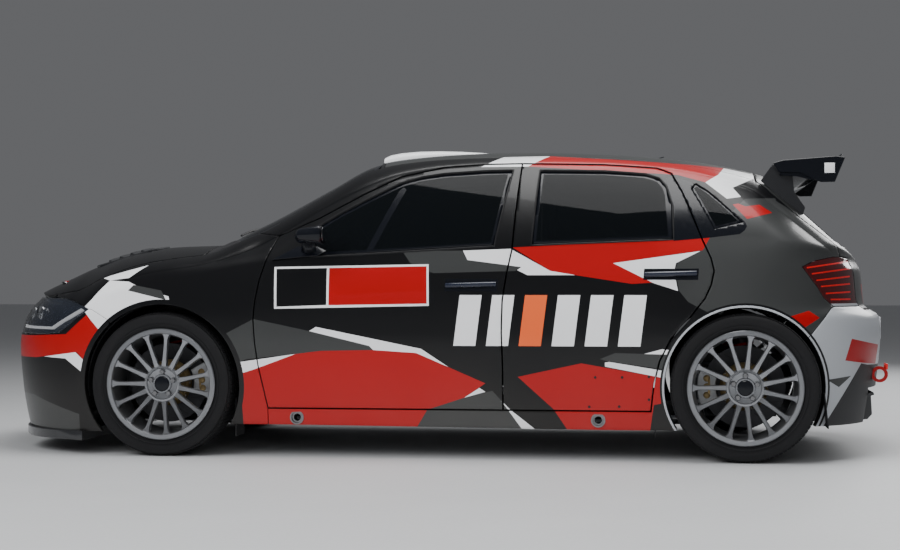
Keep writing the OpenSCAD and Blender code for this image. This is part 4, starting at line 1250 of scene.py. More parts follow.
class FrontEnd(Assembly):
    """The nose: bumper, fenders, bonnet, headlights and splitter."""

    def build(self) -> None:
        """Builds the painted panels."""
        bumper = Skin(
            "front_bumper_skin", FORM.nose, (0.0, 1.0, 104, 697), (230, 50), keep=[Region(BUMPER)],
            drop=[Region(grown(HEADLIGHT, 1.5), View.SIDE, 1, LAMP_Y), *OPENINGS,
            Region(FRONT_ARCH)],
            patches=LIVERY, thickness=22.0)
        self.add(bumper, ["front_bumper"], "dark_paint")
        for name, mirror in (("left", False), ("right", True)):
            fender = Skin(
                f"{name}_fender_skin", FORM.side, (-1702, -660, -0.4, 0.97), (86, 104),
                keep=[Region(grown(FENDER, -1.5))],
                drop=[from_above(BONNET, 3.5),
                      from_above(COWL, 1.5),
                      from_above(SCREEN, 1.5), Region(FRONT_ARCH),
                      Region(grown(HEADLIGHT, 1.5))],
                patches=LIVERY, thickness=20.0, mirror=mirror)
            self.add(fender, ["front_fenders"], "white_paint")
        bonnet = Skin(
            "bonnet_skin", FORM.hood, (0.0, 1.0, -794, 794), (76, 120),
            keep=[from_above(BONNET, -3.5)], patches=LIVERY, thickness=20.0)
        self.add(bonnet, ["bonnet"], "dark_paint", "bonnet")
        cowl = Skin(
            "cowl_skin", FORM.crown, (-1004, -848, -740, 740), (12, 100),
            keep=[from_above(COWL, -1.5)],
            thickness=18.0, base=PLASTIC, rim=PLASTIC)
        self.add(cowl, ["cowl_panel"], "plastic")
        for name, mirror in (("left", False), ("right", True)):
            self.headlight(name, mirror)

    def headlight(self, name: str, mirror: bool) -> None:
        """Builds one headlight: its dark bowl, its lamps and its cover."""
        keep = [Region(grown(HEADLIGHT, -1.5)), outboard(LAMP_Y)]
        bowl = Skin(
            f"{name}_headlight_bowl", FORM.nose, (0.02, 0.5, 532, 701), (80, 24), keep=keep,
            sunk=26.0, thickness=20.0, base=NAVY, rim=NAVY, mirror=mirror)
        self.add(bowl, ["headlights"], "lens")
        strip = Skin(
            f"{name}_headlight_strip", FORM.nose, (0.02, 0.5, 532, 701), (80, 24),
            keep=[Region([(-2060, 560), (-1690, 556), (-1530, 645), (-1545, 652), (-1698, 568),
            (-2060, 572)]), keep[1]],
            sunk=10.0, thickness=8.0, base=LED, rim=LED, mirror=mirror)
        self.add(strip, [], "lens")
        lamps = Shape(f"{name}_headlight_lamps")
        for y, z in ((-560, 622), (-690, 628)):
            at = nose_point(y, z, 40)
            lamps.ball(CHROME, at, (22, 36, 36), 12)
            lamps.ball(GLOSS_BLACK, at + Vector((-14, 0, 0)), (15, 26, 26), 12)
        self.add(lamps.flipped(mirror), [], "lens")
        cover = Skin(
            f"{name}_headlight_cover", FORM.nose, (0.02, 0.5, 532, 701), (80, 24), keep=keep,
            sunk=1.0, thickness=3.0,
            base=LENS, rim=LENS, edge=0.0, mirror=mirror)
        self.add(cover, ["headlights"], "lens")

    def dress(self) -> None:
        """Adds the grilles, the splitter, the vents and the pins."""
        grille = Shape("grille_mesh")
        for y0, z0, z1 in ((405, 548, 648), (520, 215, 420)):
            for k in range(int((z1 - z0) / 24)):
                z = z0 + 12 + 24 * k
                grille.tube(PLASTIC, [nose_point(y, z, 34) for y in np.linspace(-y0, y0, 17)], 3.2,
                    6)
            for k in range(int(2 * y0 / 32) + 1):
                y = -y0 + 4 + 32 * k
                grille.tube(PLASTIC,
                    [nose_point(min(y0, y + 16 * (i % 2)), z, 34) for i,
                    z in enumerate(np.linspace(z0, z1, 5))], 3.2, 6)
        for y0, z0, z1 in ((420, 534, 662), (540, 200, 436)):
            back = [nose_point(y, (z0 + z1) / 2, 62) for y in np.linspace(-y0, y0, 13)]
            grille.rings(SEAL, [[p + Vector((dx, 0, dz)) for dx, dz in
                                 ((0, z0 / 2 - z1 / 2), (6, z0 / 2 - z1 / 2), (6, z1 / 2 - z0 / 2),
                                 (0, z1 / 2 - z0 / 2))] for p in back])
        grille.tube(CHROME, [nose_point(y, 598, 24) for y in np.linspace(-398, 398, 21)], 4.5, 8)
        self.add(grille, [], "plastic")
        lip = Shape("splitter_blade")
        edge = [nose_point(y, 140, 0) for y in np.linspace(-880, 880, 49)]
        edge = [Vector((min(p.x - 4, -1530), p.y, 64)) for p in edge]
        lip.prism(CARBON, [*edge, Vector((-1530, 880, 64)), Vector((-1530, -880, 64))], (0, 0, 42),
            4.0)
        self.add(lip, ["front_splitter"], "carbon")
        plate = Shape("front_number_plate")
        plate.box(WHITE, nose_point(0, 480, -3), (6, 440, 96), 2.0)
        self.add(plate, [], "white_paint")
        vents = Shape("bonnet_vents")
        for side in (-1, 1):
            for k in range(4):
                x = -1560 + 52 * k
                row = [crown_point(x, side * y, 3) for y in (250, 310, 370, 430)]
                vents.rings(CARBON,
                    [[p + Vector((0, 0, 0)), p + Vector((44, 0, -3)), p + Vector((44, 0, 2)),
                    p + Vector((4, 0, 13))] for p in row])
            vents.tube(CARBON, [crown_point(x, side * y, 3) for x, y in
                                ((-1590, 225), (-1340, 225), (-1325, 240), (-1325, 440),
                                (-1340, 455), (-1590, 455), (-1605, 440), (-1605, 240))],
                       7, 8, closed=True)
            for y, x in ((520, -1740), (300, -1860)):
                p = crown_point(x, side * y, 2)
                vents.ball(STEEL, p, (16, 16, 5), 10)
                vents.tube(RED,
                    [p + Vector((0, 0, 5)), p + Vector((26, side * 6, 4)),
                    p + Vector((44, side * 14, 0))], 2.2, 8)
        self.add(vents, [], "carbon", "bonnet")


# ---- Cabin shell -------------------------------------------------------------------------------


class CabinShell(Assembly):
    """The fixed sides, the roof and the fixed glass."""

    def build(self) -> None:
        """Builds the painted panels and the glass."""
        hatch = Region(both(grown(TAILGATE, 3.5)), View.BACK, 0, HATCH_X)
        for name, mirror in (("left", False), ("right", True)):
            side = Skin(
                f"{name}_side_skin", FORM.side, (-1004, 1960, -0.4, 0.995), (220, 118),
                keep=[Region([(-1004, 0), (1960, 0), (1960, 1400), (-1004, 1400)])],
                drop=[
                    Region(grown(FRONT_DOOR, 3.5)), Region(grown(REAR_DOOR, 3.5)),
                    Region(grown(FENDER, 1.5)),
                    Region(grown(REAR_BUMPER, 1.5)), Region(grown(TAILLIGHT, 1.5)), Region(QUARTER),
                    from_above(COWL, 1.5), from_above(SCREEN, 1.5),
                    from_above(ROOF, 1.5),
                    Region([(-1010, 0), (-600, 0), (-600, 60), (-1010, 60)], View.TOP),
                    hatch, Region(REAR_ARCH), Region(FRONT_ARCH), Region(circle(-560, 174, 25, 28)),
                    Region(circle(760, 174, 25, 28))],
                patches=LIVERY, thickness=44.0, mirror=mirror)
            self.add(side, [f"{name}_side_frame"], "dark_paint")
            quarter = Skin(
                f"{name}_quarter_pane", FORM.side, (1140, 1400, 0.28, 0.62), (16, 24),
                keep=[Region(grown(QUARTER, -1))],
                patches=fields(TINT, grown(QUARTER, -12)), **PANE,
                mirror=mirror)
            self.add(quarter, ["quarter_windows"], "glass")
        roof = Skin(
            "roof_skin", FORM.crown, (-266, 1440, -557, 557), (124, 84),
            keep=[from_above(ROOF, -1.5)],
            patches=LIVERY, thickness=24.0, base=SLATE)
        self.add(roof, ["roof_panel"], "slate_paint")
        inner = both(grown(SCREEN, -30), False)
        screen = Skin(
            "windscreen_pane", FORM.crown, (-988, -255, -708, 708), (56, 92),
            keep=[from_above(SCREEN, -1)],
            patches=[Patch(TINT, Region(inner, View.TOP))], **PANE)
        self.add(screen, ["windscreen"], "glass")

    def dress(self) -> None:
        """Adds the roof scoop, the aerial, the wipers and the jack points' rims."""
        scoop = Shape("roof_scoop_shell")
        rows = []
        for x, w, top in ((-285, 170, 1370), (-260, 172, 1382), (-205, 172, 1392),
                (-120, 170, 1398), (-20, 162, 1399),
                          (80, 144, 1396), (180, 118, 1390), (245, 96, 1383), (262, 84, 1374)):
            row = []
            for a in np.linspace(0, math.pi, 25):
                y = w * math.copysign(abs(math.cos(a)) ** 0.55, math.cos(a))
                base = crown_point(x, y, -3).z
                row.append(Vector((x, y, base + (top - base) * math.sin(a) ** 0.5)))
            rows.append(row)
        thick = [[p + Vector((0, -p.y * 0.04, -6)) for p in row] for row in rows[:-1]]
        shell = []
        for k, row in enumerate(rows):
            under = thick[min(k, len(thick) - 1)]
            shell.append(row + list(reversed([Vector((row[0].x, p.y, p.z)) for p in under])))
        scoop.rings(WHITE, shell)
        for y in (-56, 56):
            scoop.box(CARBON, (-215, y, 1358), (120, 4, 36), 0)
        self.add(scoop, ["roof_scoop"], "white_paint")
        small = Shape("aerial_and_wipers")
        base = crown_point(980, 0, 0)
        small.hull(GLOSS_BLACK, [(base, (30, 14, 5)), (base + Vector((14, 0, 8)), (8, 4, 4))])
        small.tube(GLOSS_BLACK, [base + Vector((10, 0, 4)), base + Vector((60, 0, 18))], 2.0, 8)
        for y0, y1 in ((-480, -40), (90, 520)):
            arm = [crown_point(-905 + 40 * t, y0 + (y1 - y0) * t, 6 + 6 * math.sin(math.pi * t))
                for t in np.linspace(0, 1, 9)]
            small.tube(PLASTIC, arm, 5, 8)
            small.tube(SEAL, [p + Vector((-14, 0, -5)) for p in arm[1:]], 4, 6)
        self.add(small, [], "plastic")
        rims = Shape("jack_point_rims")
        for x in (-560, 760):
            p = flank_point(x, 174, -2)
            rims.pose = Matrix.Translation(p) @ Matrix.Rotation(math.radians(90), 4, "X")
            rims.lathe(STEEL, [(24, 0), (31, 0), (31, 5), (24, 5)], 32)
        rims.pose = Matrix.Identity(4)
        for x, z in ((748, 359), (863, 360), (977, 363), (977, 265), (850, 234), (722, 232)):
            rims.ball(PLASTIC, flank_point(x, z, 0), (6, 3, 6), 6)
        self.add(rims.doubled(), [], "steel")


# ---- Tail --------------------------------------------------------------------------------------


class TailEnd(Assembly):
    """The rear bumper, lights, tailgate and wing."""

    def build(self) -> None:
        """Builds the painted panels, the lights and the rear window."""
        low_hatch = both([(0, 1400), (522, 1400), (522, 688), (482, 645), (0, 645)])
        bumper = Skin(
            "rear_bumper_skin", FORM.rump, (0.0, 1.0, 152, 664), (250, 44),
            keep=[Region(grown(REAR_BUMPER, -1.5))],
            drop=[Region(low_hatch, View.BACK),
            Region([(-523, 0), (523, 0), (523, 303), (-523, 303)], View.BACK, 0, 1400.0),
                  Region(REAR_ARCH)],
            patches=REAR_LIVERY, thickness=24.0, base=SILVER)
        self.add(bumper, ["rear_bumper"], "white_paint")
        for name, mirror in (("left", False), ("right", True)):
            keep = [Region(grown(TAILLIGHT, -1.5)), outboard(TAIL_LAMP_Y)]
            gap = Region(both(grown(TAILGATE, 3.5)), View.BACK, 0, HATCH_X)
            lines = [[(x, z), (1850, end), (1850, end + 7), (x, z + 6)] for x, z, end in
                     ((1646, 826, 856), (1668, 800, 824), (1688, 772, 790), (1708, 746, 757),
                     (1730, 716, 722), (1752, 690, 690))]
            light = Skin(
                f"{name}_tail_light", FORM.rump, (0.04, 0.5, 664, 879), (90, 34), keep=keep,
                drop=[gap],
                patches=[*fields(RED_GLOW, *lines),
                *fields(SILVER, [(1740, 664), (2100, 664), (2100, 677), (1730, 675)])],
                thickness=30.0, base=RED_LENS, rim=SEAL, mirror=mirror)
            self.add(light, ["taillights"], "red_lens")
        gate = Skin(
            "tailgate_skin", FORM.rump, (0.06, 0.94, 652, 1274), (150, 90),
            keep=[Region(both(grown(TAILGATE, -3.5)), View.BACK),
            Region([(1448, -700), (2100, -700), (2100, 700), (1448, 700)], View.TOP)],
            drop=[Region(both(REAR_GLASS), View.BACK)], thickness=26.0, base=SLATE,
            patches=[Patch(RED,
            Region([(-300, 668), (300, 668), (360, 760), (-360, 760)], View.BACK)),
                     Patch(WHITE, Region([(-250, 690), (250, 690), (250, 790), (-250, 790)],
                     View.BACK))])
        self.add(gate, ["tailgate"], "slate_paint", "tailgate")
        inner = both(grown(REAR_GLASS, -22))
        pane = Skin(
            "rear_window_pane", FORM.rump, (0.1, 0.9, 920, 1232), (70, 40),
            keep=[Region(both(grown(REAR_GLASS, -1)), View.BACK)],
            patches=[Patch(TINT, Region(inner, View.BACK))], **PANE)
        self.add(pane, ["rear_window"], "glass", "tailgate")

    def dress(self) -> None:
        """Adds the wing, the diffuser and the exhaust tip."""
        wing = Shape("wing_planes")
        upper = [(1530, 1288), (1540, 1296), (1575, 1303), (1650, 1309), (1740, 1314), (1815, 1318),
            (1815, 1313), (1740, 1303),
                 (1650, 1294), (1580, 1284), (1540, 1280)]
        lower = [(1545, 1246), (1558, 1252), (1590, 1255), (1640, 1250), (1680, 1234), (1700, 1222),
            (1692, 1215), (1660, 1222),
                 (1620, 1232), (1575, 1236), (1550, 1238)]
        for outline in (upper, lower):
            wing.prism(GLOSS_BLACK, [(x, -600, z) for x, z in outline], (0, 1200, 0), 0.8)
        wing.box(CARBON, (1811, 0, 1322), (4, 1196, 14), 1)
        plate = [(1517, 1292), (1560, 1304), (1788, 1320), (1827, 1314), (1783, 1206), (1723, 1206),
            (1663, 1232), (1629, 1248),
                 (1543, 1250)]
        pylon = [(1466, 1218), (1519, 1292), (1600, 1288), (1612, 1168), (1660, 1098), (1648, 1062),
            (1560, 1128)]
        for side in (-1, 1):
            wing.prism(GLOSS_BLACK, [(x, side * 604 - 4, z) for x, z in plate], (0, 8, 0), 2.0)
            wing.prism(CARBON, [(x, side * 540 - 6, z) for x, z in pylon], (0, 12, 0), 2.0)
            wing.box(WHITE, (1760, side * 609.5, 1268), (44, 3, 44), 1.0)
        self.add(wing, ["rear_wing"], "carbon", "tailgate")
        under = Shape("diffuser")
        ramp = [(1560, 150), (1700, 190), (1850, 236), (1960, 272), (1956, 284), (1850, 250),
            (1700, 204), (1560, 164)]
        under.prism(CARBON, [(x, -517, z) for x, z in ramp], (0, 1034, 0), 1.0)
        fin = [(1640, 172), (1955, 268), (1960, 180), (1940, 158), (1860, 148), (1700, 148)]
        for k in range(-2, 3):
            under.prism(CARBON, [(x, k * 215 - 3, z) for x, z in fin], (0, 6, 0), 1.0)
        self.add(under, ["rear_diffuser"], "carbon")
        extras = Shape("tail_fittings")
        extras.box(WHITE, (2024, 0, 560), (5, 400, 100), 2.0)
        extras.pose = Matrix.Translation((1880, 300, 232)) @ Matrix.Rotation(math.radians(90), 4,
            "Y")
        extras.lathe(STEEL, [(38, 0), (42, 0), (42, 90), (38, 90)], 40)
        extras.pose = Matrix.Identity(4)
        for side in (-1, 1):
            extras.box(SEAL, (1722, side * 770, 222), (5, 180, 150), 1.0,
                Euler((0, math.radians(-6), 0)))
            extras.box(SEAL, (-836, side * 775, 172), (5, 150, 170), 1.0)
            extras.box(SEAL, (1010, side * 775, 176), (5, 150, 150), 1.0,
                Euler((0, math.radians(8), 0)))
            extras.box(RED_GLOW, (2004, side * 560, 400), (8, 90, 26), 3.0)
        self.add(extras, [], "plastic")


# ---- Wheels ------------------------------------------------------------------------------------


@dataclass(frozen=True)
class WheelSize:
    """A wheel's own sizes, in millimetres, with its outer face towards +Z."""

    tread_r: float = 312.0
    rim_r: float = 246.0
    spokes: int = 15
    disc_r: float = 176.0
    disc_z: float = -44.0
    steps: int = 96


class Wheel(Assembly):
    """One road wheel: tyre, rim and brake disc."""

    def __init__(self, name: str, x: float, mirror: bool, size: WheelSize = WheelSize()) -> None:
        """Keeps which wheel this is."""
        self.name = name
        self.x = x
        self.mirror = mirror
        self.size = size
        self.body = f"{name}_wheel"

    def placed(self, piece: Shape) -> Shape:
        """Moves a piece from the wheel's own axes to the car."""
        return to_hub(piece, self.x, self.mirror)

    def build(self) -> None:
        """Builds the tyre and the rim."""
        self.add(self.placed(self.tyre()), [f"{self.name}_tyre"], "tyre")
        self.add(self.placed(self.rim()), [f"{self.name}_rim"], "alloy")

    def dress(self) -> None:
        """Adds the brake disc, the wheel nuts and the cap."""
        s = self.size
        disc = Shape(f"{self.name}_disc")
        z0, z1 = s.disc_z - 16, s.disc_z + 16
        disc.lathe(IRON, [(104, z0), (s.disc_r, z0), (s.disc_r, z0 + 12), (s.disc_r - 6, z0 + 13),
            (s.disc_r - 6, z1 - 13),
                          (s.disc_r, z1 - 12), (s.disc_r, z1), (104, z1)], 72)
        disc.lathe(GOLD, [(52, z1 + 20), (52, z1 + 26), (88, z1 + 26), (98, z1 + 18), (106, z1 - 4),
            (106, z1 - 12), (96, z1 - 12), (86, z1 + 16)], 64)
        for k in range(10):
            a = 2 * math.pi * k / 10
            disc.ball(STEEL, (97 * math.cos(a), 97 * math.sin(a), z1 + 14), (6, 6, 5), 6)
            for side in (z0 - 0.2, z1 + 0.2):
                disc.box(SEAL, (142 * math.cos(a + 0.15), 142 * math.sin(a + 0.15), side),
                    (52, 3, 0.8), 0, Euler((0, 0, a + 0.75)))
        disc.lathe(STEEL, [(0, z0 - 6), (50, z0 - 6), (50, 60), (0, 60)], 40)
        self.add(self.placed(disc), [f"{self.name}_rim"], "iron")
        small = Shape(f"{self.name}_nuts")
        for k in range(5):
            a = 2 * math.pi * k / 5 + 0.3
            small.pose = Matrix.Translation((52 * math.cos(a), 52 * math.sin(a), 0))
            small.lathe(STEEL, [(0, 68), (13, 68), (13, 89), (10, 94), (0, 94)], 6)
            small.lathe(SEAL, [(0, 64), (17, 64), (17, 76), (0, 76)], 20)
        small.pose = Matrix.Identity(4)
        small.lathe(GLOSS_BLACK, [(0, 66), (34, 66), (34, 88), (28, 93), (0, 95)], 40)
        self.add(self.placed(small), [f"{self.name}_rim"], "alloy")

    def tyre(self) -> Shape:
        """Returns the tyre, with its tread blocks."""
        s = self.size
        piece = Shape(f"{self.name}_tyre_body")
        seat = s.rim_r - 15.5
        side = [(seat, -99), (s.rim_r + 1, -101)]
        side += [(284 + 27 * math.sin(math.radians(a)), -105.5 - 11.5 * math.cos(math.radians(a)))
            for a in range(-62, 63, 12)]
        grooves = [(-99, s.tread_r - 4), (-86, s.tread_r), (-56, s.tread_r), (-55, 307), (-49, 307),
            (-48, s.tread_r), (-20, s.tread_r),
                   (-19, 307), (-13, 307), (-12, s.tread_r)]
        tread = [(r, z) for z, r in grooves]
        half = side + tread
        profile = half + [(r, -z) for r, z in reversed(half)]
        bands = ((-99, -86), (-86, -56), (-48, -20), (-12, 12), (20, 48), (56, 86), (86, 99))

        def is_block(f: bmesh.types.BMFace) -> bool:
            """Tells whether a face is the top of a tread block."""
            c = f.calc_center_median()
            low, high = min(v.co.z for v in f.verts), max(v.co.z for v in f.verts)
            wide = any(abs(low - a) < 0.6 and abs(high - b) < 0.6 for a, b in bands)
            return wide and math.hypot(c.x, c.y) > s.tread_r - 4

        piece.lathe(RUBBER, profile, s.steps, is_block)
        for z in (-114.6, 114.6):
            ring = [(262, z - 2.6), (264, z - 3), (266, z - 2.6), (266, z + 2), (262, z + 2)]
            piece.lathe(RUBBER, [(r, a if z > 0 else a + 1.2) for r, a in ring], s.steps)
        return piece

    def rim(self) -> Shape:
        """Returns the spoked rim, in one casting."""
        s = self.size
        piece = Shape(f"{self.name}_rim_casting")
        b = s.rim_r - 16
        piece.lathe(ALLOY, [
            (b - 8, -112), (s.rim_r - 4, -112), (s.rim_r, -109), (s.rim_r, -104), (b, -98),
            (b - 12, -60), (b - 12, 40), (b, 84),
            (b, 98), (s.rim_r, 105), (s.rim_r, 109), (s.rim_r - 4, 112), (b - 5, 112), (b - 9, 106),
            (b - 9, 84), (b - 20, 40),
            (b - 20, -60)], 120)
        piece.lathe(ALLOY, [(30, 60), (66, 60), (80, 66), (84, 78), (78, 86), (70, 87), (66, 80),
            (44, 78), (40, 86), (30, 86)], 90)
        for k in range(s.spokes):
            a = 2 * math.pi * (k + 0.5) / s.spokes
            loops = []
            for r, w, low, high in ((66, 14, 64, 82), (84, 12.5, 64, 87), (120, 10.5, 66, 90),
                    (170, 9.5, 68, 95),
                                    (198, 10, 70, 99), (212, 13, 71, 102), (b - 8, 21, 72, 105)):
                loops.append([(r, -w, low + 4), (r, -w * 0.6, low), (r, w * 0.6, low),
                    (r, w, low + 4), (r, w, high - 6),
                              (r, w - 3, high), (r, -w + 3, high), (r, -w, high - 6)])
            piece.pose = Matrix.Rotation(a, 4, "Z")
            piece.rings(ALLOY, loops)
        return piece


def to_hub(piece: Shape, x: float, mirror: bool) -> Shape:
    """Moves a piece from a wheel's own axes to its place on the car."""
    turn = Matrix(((1, 0, 0, x), (0, 0, -1, -TRACK_HALF), (0, 1, 0, HUB_Z), (0, 0, 0, 1)))
    return piece.place(turn).flipped(mirror)


class Brakes(Assembly):
    """The upright and caliper behind one wheel."""

    def __init__(self, name: str, x: float, mirror: bool, angle: float, body: str) -> None:
        """Keeps which corner this is."""
        self.name = name
        self.x = x
        self.mirror = mirror
        self.angle = angle
        self.body = body

    def build(self) -> None:
        """Builds the caliper, and the upright where it steers."""
        piece = Shape(f"{self.name}_caliper")
        steers = self.body != "body"
        if steers:
            piece.lathe(DULL_STEEL, [(0, -150), (50, -150), (54, -110), (50, -68), (0, -68)], 40)
            piece.box(DULL_STEEL, (0, 0, -78), (46, 252, 22), 5)
        piece.pose = Matrix.Rotation(math.radians(self.angle), 4, "Z")
        for z, t in ((-76, 22), (-9, 24)):
            arc = [math.radians(a) for a in range(-24, 25, 8)]
            outline = [(202 * math.cos(a), 202 * math.sin(a)) for a in arc] + [(122 * math.cos(a),
                122 * math.sin(a)) for a in reversed(arc)]
            piece.prism(CALIPER, [(x, y, z - t / 2) for x, y in outline], (0, 0, t), 3.0)
        for y in (-60, 0, 60):
            piece.box(CALIPER, (192, y, -43), (16, 22, 56), 2.0)
        for y in (-40, 0, 40):
            piece.ball(GOLD, (160, y * 0.9, 3), (15, 15, 4), 8)
        piece.box(GOLD, (150, 0, 4), (10, 70, 3), 1)
        if steers:
            piece.box(DULL_STEEL, (70, 0, -76), (110, 56, 12), 3)
        nodes = [self.body] if steers else []
        self.add(to_hub(piece, self.x, self.mirror), nodes, "iron")


class RunningGear(Assembly):
    """Springs and shafts that show through the wheels."""

    def dress(self) -> None:
        """Adds the coil springs and drive shafts."""
        gear = Shape("springs_and_shafts")
        for x in (FRONT_X, REAR_X):
            turns = [(x + 44 * math.cos(a), -598 + 44 * math.sin(a), 400 + a * 5.6)
                for a in np.linspace(0, 2 * math.pi * 4, 97)]
            gear.tube(RED, turns, 6, 8)
            gear.tube(DULL_STEEL, [(x, -390, 300), (x, -560, 316), (x, -600, 318)], 16, 12)
        self.add(gear.doubled(), [], "steel")


# ---- Interior ----------------------------------------------------------------------------------


class Interior(Assembly):
    """The cage, the seats, the dash and the wheel."""

    seat_y = 365.0

    def seat_line(self, t: np.ndarray) -> tuple[np.ndarray, np.ndarray]:
        """Returns the side-view line of a seat from its front edge to its top."""
        rows = ((0.0, -185, 300), (0.08, -165, 333), (0.2, -90, 322), (0.36, 60, 296),
            (0.44, 150, 290), (0.5, 205, 318),
                (0.58, 232, 420), (0.7, 268, 590), (0.82, 306, 760), (0.92, 340, 910),
                (1.0, 364, 1002))
        return Curve([(r[0], r[1]) for r in rows])(t), Curve([(r[0], r[2]) for r in rows])(t)

    def seat_map(self, side: float) -> Callable[..., np.ndarray]:
        """Returns the mapping of one bucket seat's inner surface.

        Args:
            side: -1 for the driver's, 1 for the co-driver's.
        """

        def mapping(u: np.ndarray, v: np.ndarray, sunk: float = 0.0) -> np.ndarray:
            x, z = self.seat_line(u)
            x2, z2 = self.seat_line(np.clip(u + 0.01, 0, 1.01))
            x1, z1 = self.seat_line(np.clip(u - 0.01, 0, 1))
            dx, dz = x2 - x1, z2 - z1
            n = np.hypot(dx, dz)
            nx, nz = -dz / n, dx / n
            width = np.interp(u, [0, 0.2, 0.5, 0.75, 0.86, 0.93, 1.0],
                [205, 215, 212, 218, 205, 150, 120])
            wing = np.interp(u, [0, 0.1, 0.3, 0.45, 0.6, 0.74, 0.85, 0.93, 1.0],
                [20, 70, 105, 110, 80, 150, 60, 120, 60])
            rise = wing * np.clip(np.abs(v) / 1.0, 0, 1) ** 5 - sunk
            y = side * self.seat_y + v * (width - sunk * 0.6)
            return np.stack([x + nx * rise, y, z + nz * rise], 1)

        return mapping

    def build(self) -> None:
        """Builds the cage and the seats."""
        cage = Shape("roll_cage_tubes")
        hoop_low, hoop_mid, hoop_top = (455, -690, 184), (455, -705, 860), (470, -545, 1236)
        leg_low, leg_mid, front_top = (-700, -690, 184), (-690, -690, 850), (-240, -536, 1199)
        cage.tube(CAGE, [hoop_low, (455, -703, 800), (457, -700, 880), (466, -585, 1150),
            (468, -552, 1218), (470, -520, 1238), (470, 0, 1240)], 20, 16)
        cage.tube(CAGE, [leg_low, (-692, -690, 800), (-672, -684, 865), (-285, -551, 1162),
            (-240, -536, 1199), (-180, -537, 1203), hoop_top], 20, 16)
        for a, b in ((hoop_top, (1290, -480, 640)), ((-697, -690, 250), (455, -697, 560)),
                ((-692, -690, 600), (455, -692, 250)),
                     (front_top, (-240, 0, 1203)), ((455, -698, 560), (455, 0, 560)),
                     ((1290, -480, 640), (1290, 0, 640)),
                     ((457, -700, 640), (463, -78, 932)), (front_top, (115, -5, 1220)),
                     (hoop_top, (1130, -380, 740))):
            cage.tube(CAGE, [a, tuple(Vector(a).lerp(Vector(b), 0.5)), b], 19, 16)
        for p in (hoop_low, leg_low):
            cage.box(CAGE, (p[0], p[1] + 6, 178), (116, 84, 8), 2)
        self.add(cage.doubled(), ["roll_cage"], "cage_steel")
        for side, name in ((-1, "driver"), (1, "codriver")):
            mapping = self.seat_map(side)
            bucket = Skin(f"{name}_bucket", mapping, (0, 1, -1, 1), (56, 36), sunk=16.0,
                thickness=9.0, base=CARBON, rim=CARBON)
            self.add(bucket, ["bucket_seats"], "cloth")
            pad = Skin(f"{name}_pad", mapping, (0.03, 0.99, -0.93, 0.93), (48, 30), sunk=-4.0,
                thickness=19.0, base=CLOTH, rim=CLOTH, edge=5.0)
            obj = self.add(pad, ["bucket_seats"], "cloth")
            straps = Shape(f"{name}_harness")
            for y in (-75, 75):
                us = np.linspace(0.95, 0.42, 20)
                row = mapping(us, np.full(20, y / 212), -14.0)
                straps.rings(WEBBING,
                    [[p + Vector((0, dy, 0)) + Vector((d, 0, d)) for dy,
                    d in ((-24, 0), (24, 0), (24, -3), (-24, -3))]
                                       for p in map(Vector, row)])
            straps.ball(STEEL, Vector(mapping(np.array([0.44]), np.array([0.0]), -26.0)[0]),
                (34, 34, 22), 10)
            for y in (-150, 150):
                straps.box(DULL_STEEL, (10, side * self.seat_y + y, 225), (320, 20, 104), 4)
            self.add(straps, ["bucket_seats"], "cloth")

    def dress(self) -> None:
        """Adds the steering wheel and the dash's own parts."""
        wheel = Shape("steering_wheel_rim")
        circle_path = [(165 * math.cos(a), 165 * math.sin(a), 0) for a in arcs(64)]
        wheel.tube(CLOTH, circle_path, 14, 16, closed=True)
        wheel.lathe(PLASTIC, [(0, -20), (40, -20), (46, -4), (42, 8), (0, 10)], 40)
        for k in range(3):
            wheel.pose = Matrix.Rotation(2 * math.pi * k / 3, 4, "Z")
            wheel.box(CARBON, (92, 0, 0), (140, 28, 6), 2)
            wheel.ball(RED if k else ORANGE, (62, 0, 6), (7, 7, 4), 6)
        column = Matrix.Translation((-330, -self.seat_y, 885)) @ Matrix.Rotation(math.radians(68),
            4, "Y")
        self.add(wheel.place(column), ["steering_wheel"], "plastic", "steering_wheel")
        dash = Shape("dash_fittings")
        dash.box(GLOSS_BLACK, (-545, -365, 905), (30, 210, 70), 5, Euler((0, math.radians(-14), 0)))
        dash.box(GLOSS_BLACK, (-540, 60, 862), (24, 180, 110), 5)
        for i in range(4):
            for k in range(3):
                dash.ball(RED if (i + k) % 3 == 0 else CHROME, (-524, 10 + 34 * i, 828 + 32 * k),
                    (5, 7, 7), 6)
        dash.tube(STEEL, [(-420, -70, 420), (-430, -80, 600), (-400, -90, 760)], 10, 12)
        dash.ball(GLOSS_BLACK, (-400, -90, 780), (22, 22, 26), 10)
        dash.tube(STEEL, [(-200, -40, 180), (-230, -50, 400), (-215, -60, 500)], 8, 12)
        self.add(dash, [], "plastic")


# ---- Studio ------------------------------------------------------------------------------------


CARRIED = {
    "floor_pan": CABIN, "wheel_housings": PLASTIC, "engine": DULL_STEEL,
    "front_suspension": DULL_STEEL,
    "rear_suspension": DULL_STEEL, "skid_plate": STEEL, "exhaust": STEEL, "tow_eyes": RED,
    "jack_sockets": STEEL, "dashboard": CARBON,
}


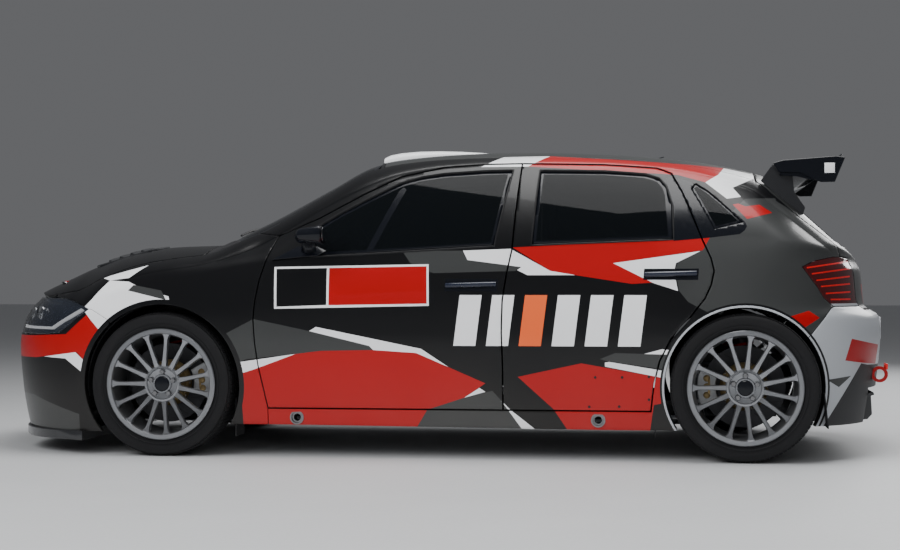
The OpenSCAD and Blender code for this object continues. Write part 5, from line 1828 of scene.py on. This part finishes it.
class Studio:
    """The floor, the lights and the camera."""

    def build(self) -> None:
        """Sets them all up."""
        bm = bmesh.new()
        bmesh.ops.create_grid(bm, x_segments=1, y_segments=1, size=60.0)
        floor = to_object("floor", bm,
            [Finish("pale_floor", (0.56, 0.57, 0.58), roughness=0.55, mottle=0.03)])
        floor.location.z = -0.0005
        world = bpy.data.worlds.new("studio")
        bpy.context.scene.world = world
        world.use_nodes = True
        world.node_tree.nodes["Background"].inputs["Color"].default_value = (0.66, 0.67, 0.70, 1)
        world.node_tree.nodes["Background"].inputs["Strength"].default_value = 0.20
        self.light("key", (-3.5, -6.5, 5.0), (0.0, 0.0, 0.6), 5.0, 460, False)
        self.light("top", (0.8, -0.6, 6.0), (0.2, 0.0, 0.6), 4.0, 350)
        self.light("back", (4.5, 5.5, 4.0), (0.0, 0.0, 0.7), 4.0, 300)
        self.light("low", (1.0, -7.0, 2.4), (0.2, 0.0, 0.6), 3.0, 120, False)
        data = bpy.data.cameras.new("camera")
        data.lens = 36.0 * 1703.0 / 900.0
        data.sensor_width = 36.0
        data.clip_end = 200.0
        camera = bpy.data.objects.new("camera", data)
        camera.location = (1.05, -8.2, 0.75)
        yaw, pitch = 0.1262, 0.0066
        ahead = Vector((-math.sin(yaw) * math.cos(pitch), math.cos(yaw) * math.cos(pitch),
            math.sin(pitch)))
        camera.rotation_euler = ahead.to_track_quat("-Z", "Y").to_euler()
        bpy.context.scene.collection.objects.link(camera)
        bpy.context.scene.camera = camera

    @staticmethod
    def light(name: str, at: tuple, aim: tuple, size: float, power: float,
            shines: bool = True) -> None:
        """Adds a soft square light.

        Args:
            name: Its name.
            at: Where it is, in metres.
            aim: What it points at.
            size: Its side.
            power: Its power in watts.
            shines: Whether glossy surfaces mirror it.
        """
        data = bpy.data.lights.new(name, "AREA")
        data.size = size
        data.energy = power
        lamp = bpy.data.objects.new(name, data)
        lamp.location = at
        lamp.visible_camera = False
        lamp.visible_glossy = shines
        lamp.rotation_euler = (Vector(aim) - Vector(at)).to_track_quat("-Z", "Y").to_euler()
        bpy.context.scene.collection.objects.link(lamp)


def main() -> None:
    """Builds everything."""
    logging.basicConfig(level=logging.INFO)
    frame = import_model()
    for name, node in frame["nodes"].items():
        node.data.materials.clear()
        node.data.materials.append(CARRIED.get(name, BLACK).material())
    assemblies = [FrontEnd(), CabinShell(), TailEnd(), RunningGear(), Interior()]
    for side, mirror in (("left", False), ("right", True)):
        assemblies += [Door(FRONT, f"front_{side}", mirror), Door(REAR, f"rear_{side}", mirror),
            Mirror(side, mirror)]
        assemblies += [Wheel(f"front_{side}", FRONT_X, mirror),
            Wheel(f"rear_{side}", REAR_X, mirror)]
        assemblies += [Brakes(f"front_{side}", FRONT_X, mirror, 5.0, f"{side}_knuckle"),
                       Brakes(f"rear_{side}", REAR_X, mirror, 180.0, "body")]
    for part in assemblies:
        for step in ("build", "dress"):
            work = getattr(part, step, None)
            if work:
                LOG.info("%s %s", type(part).__name__, step)
                work()
    Studio().build()


if __name__ == "__main__":
    main()
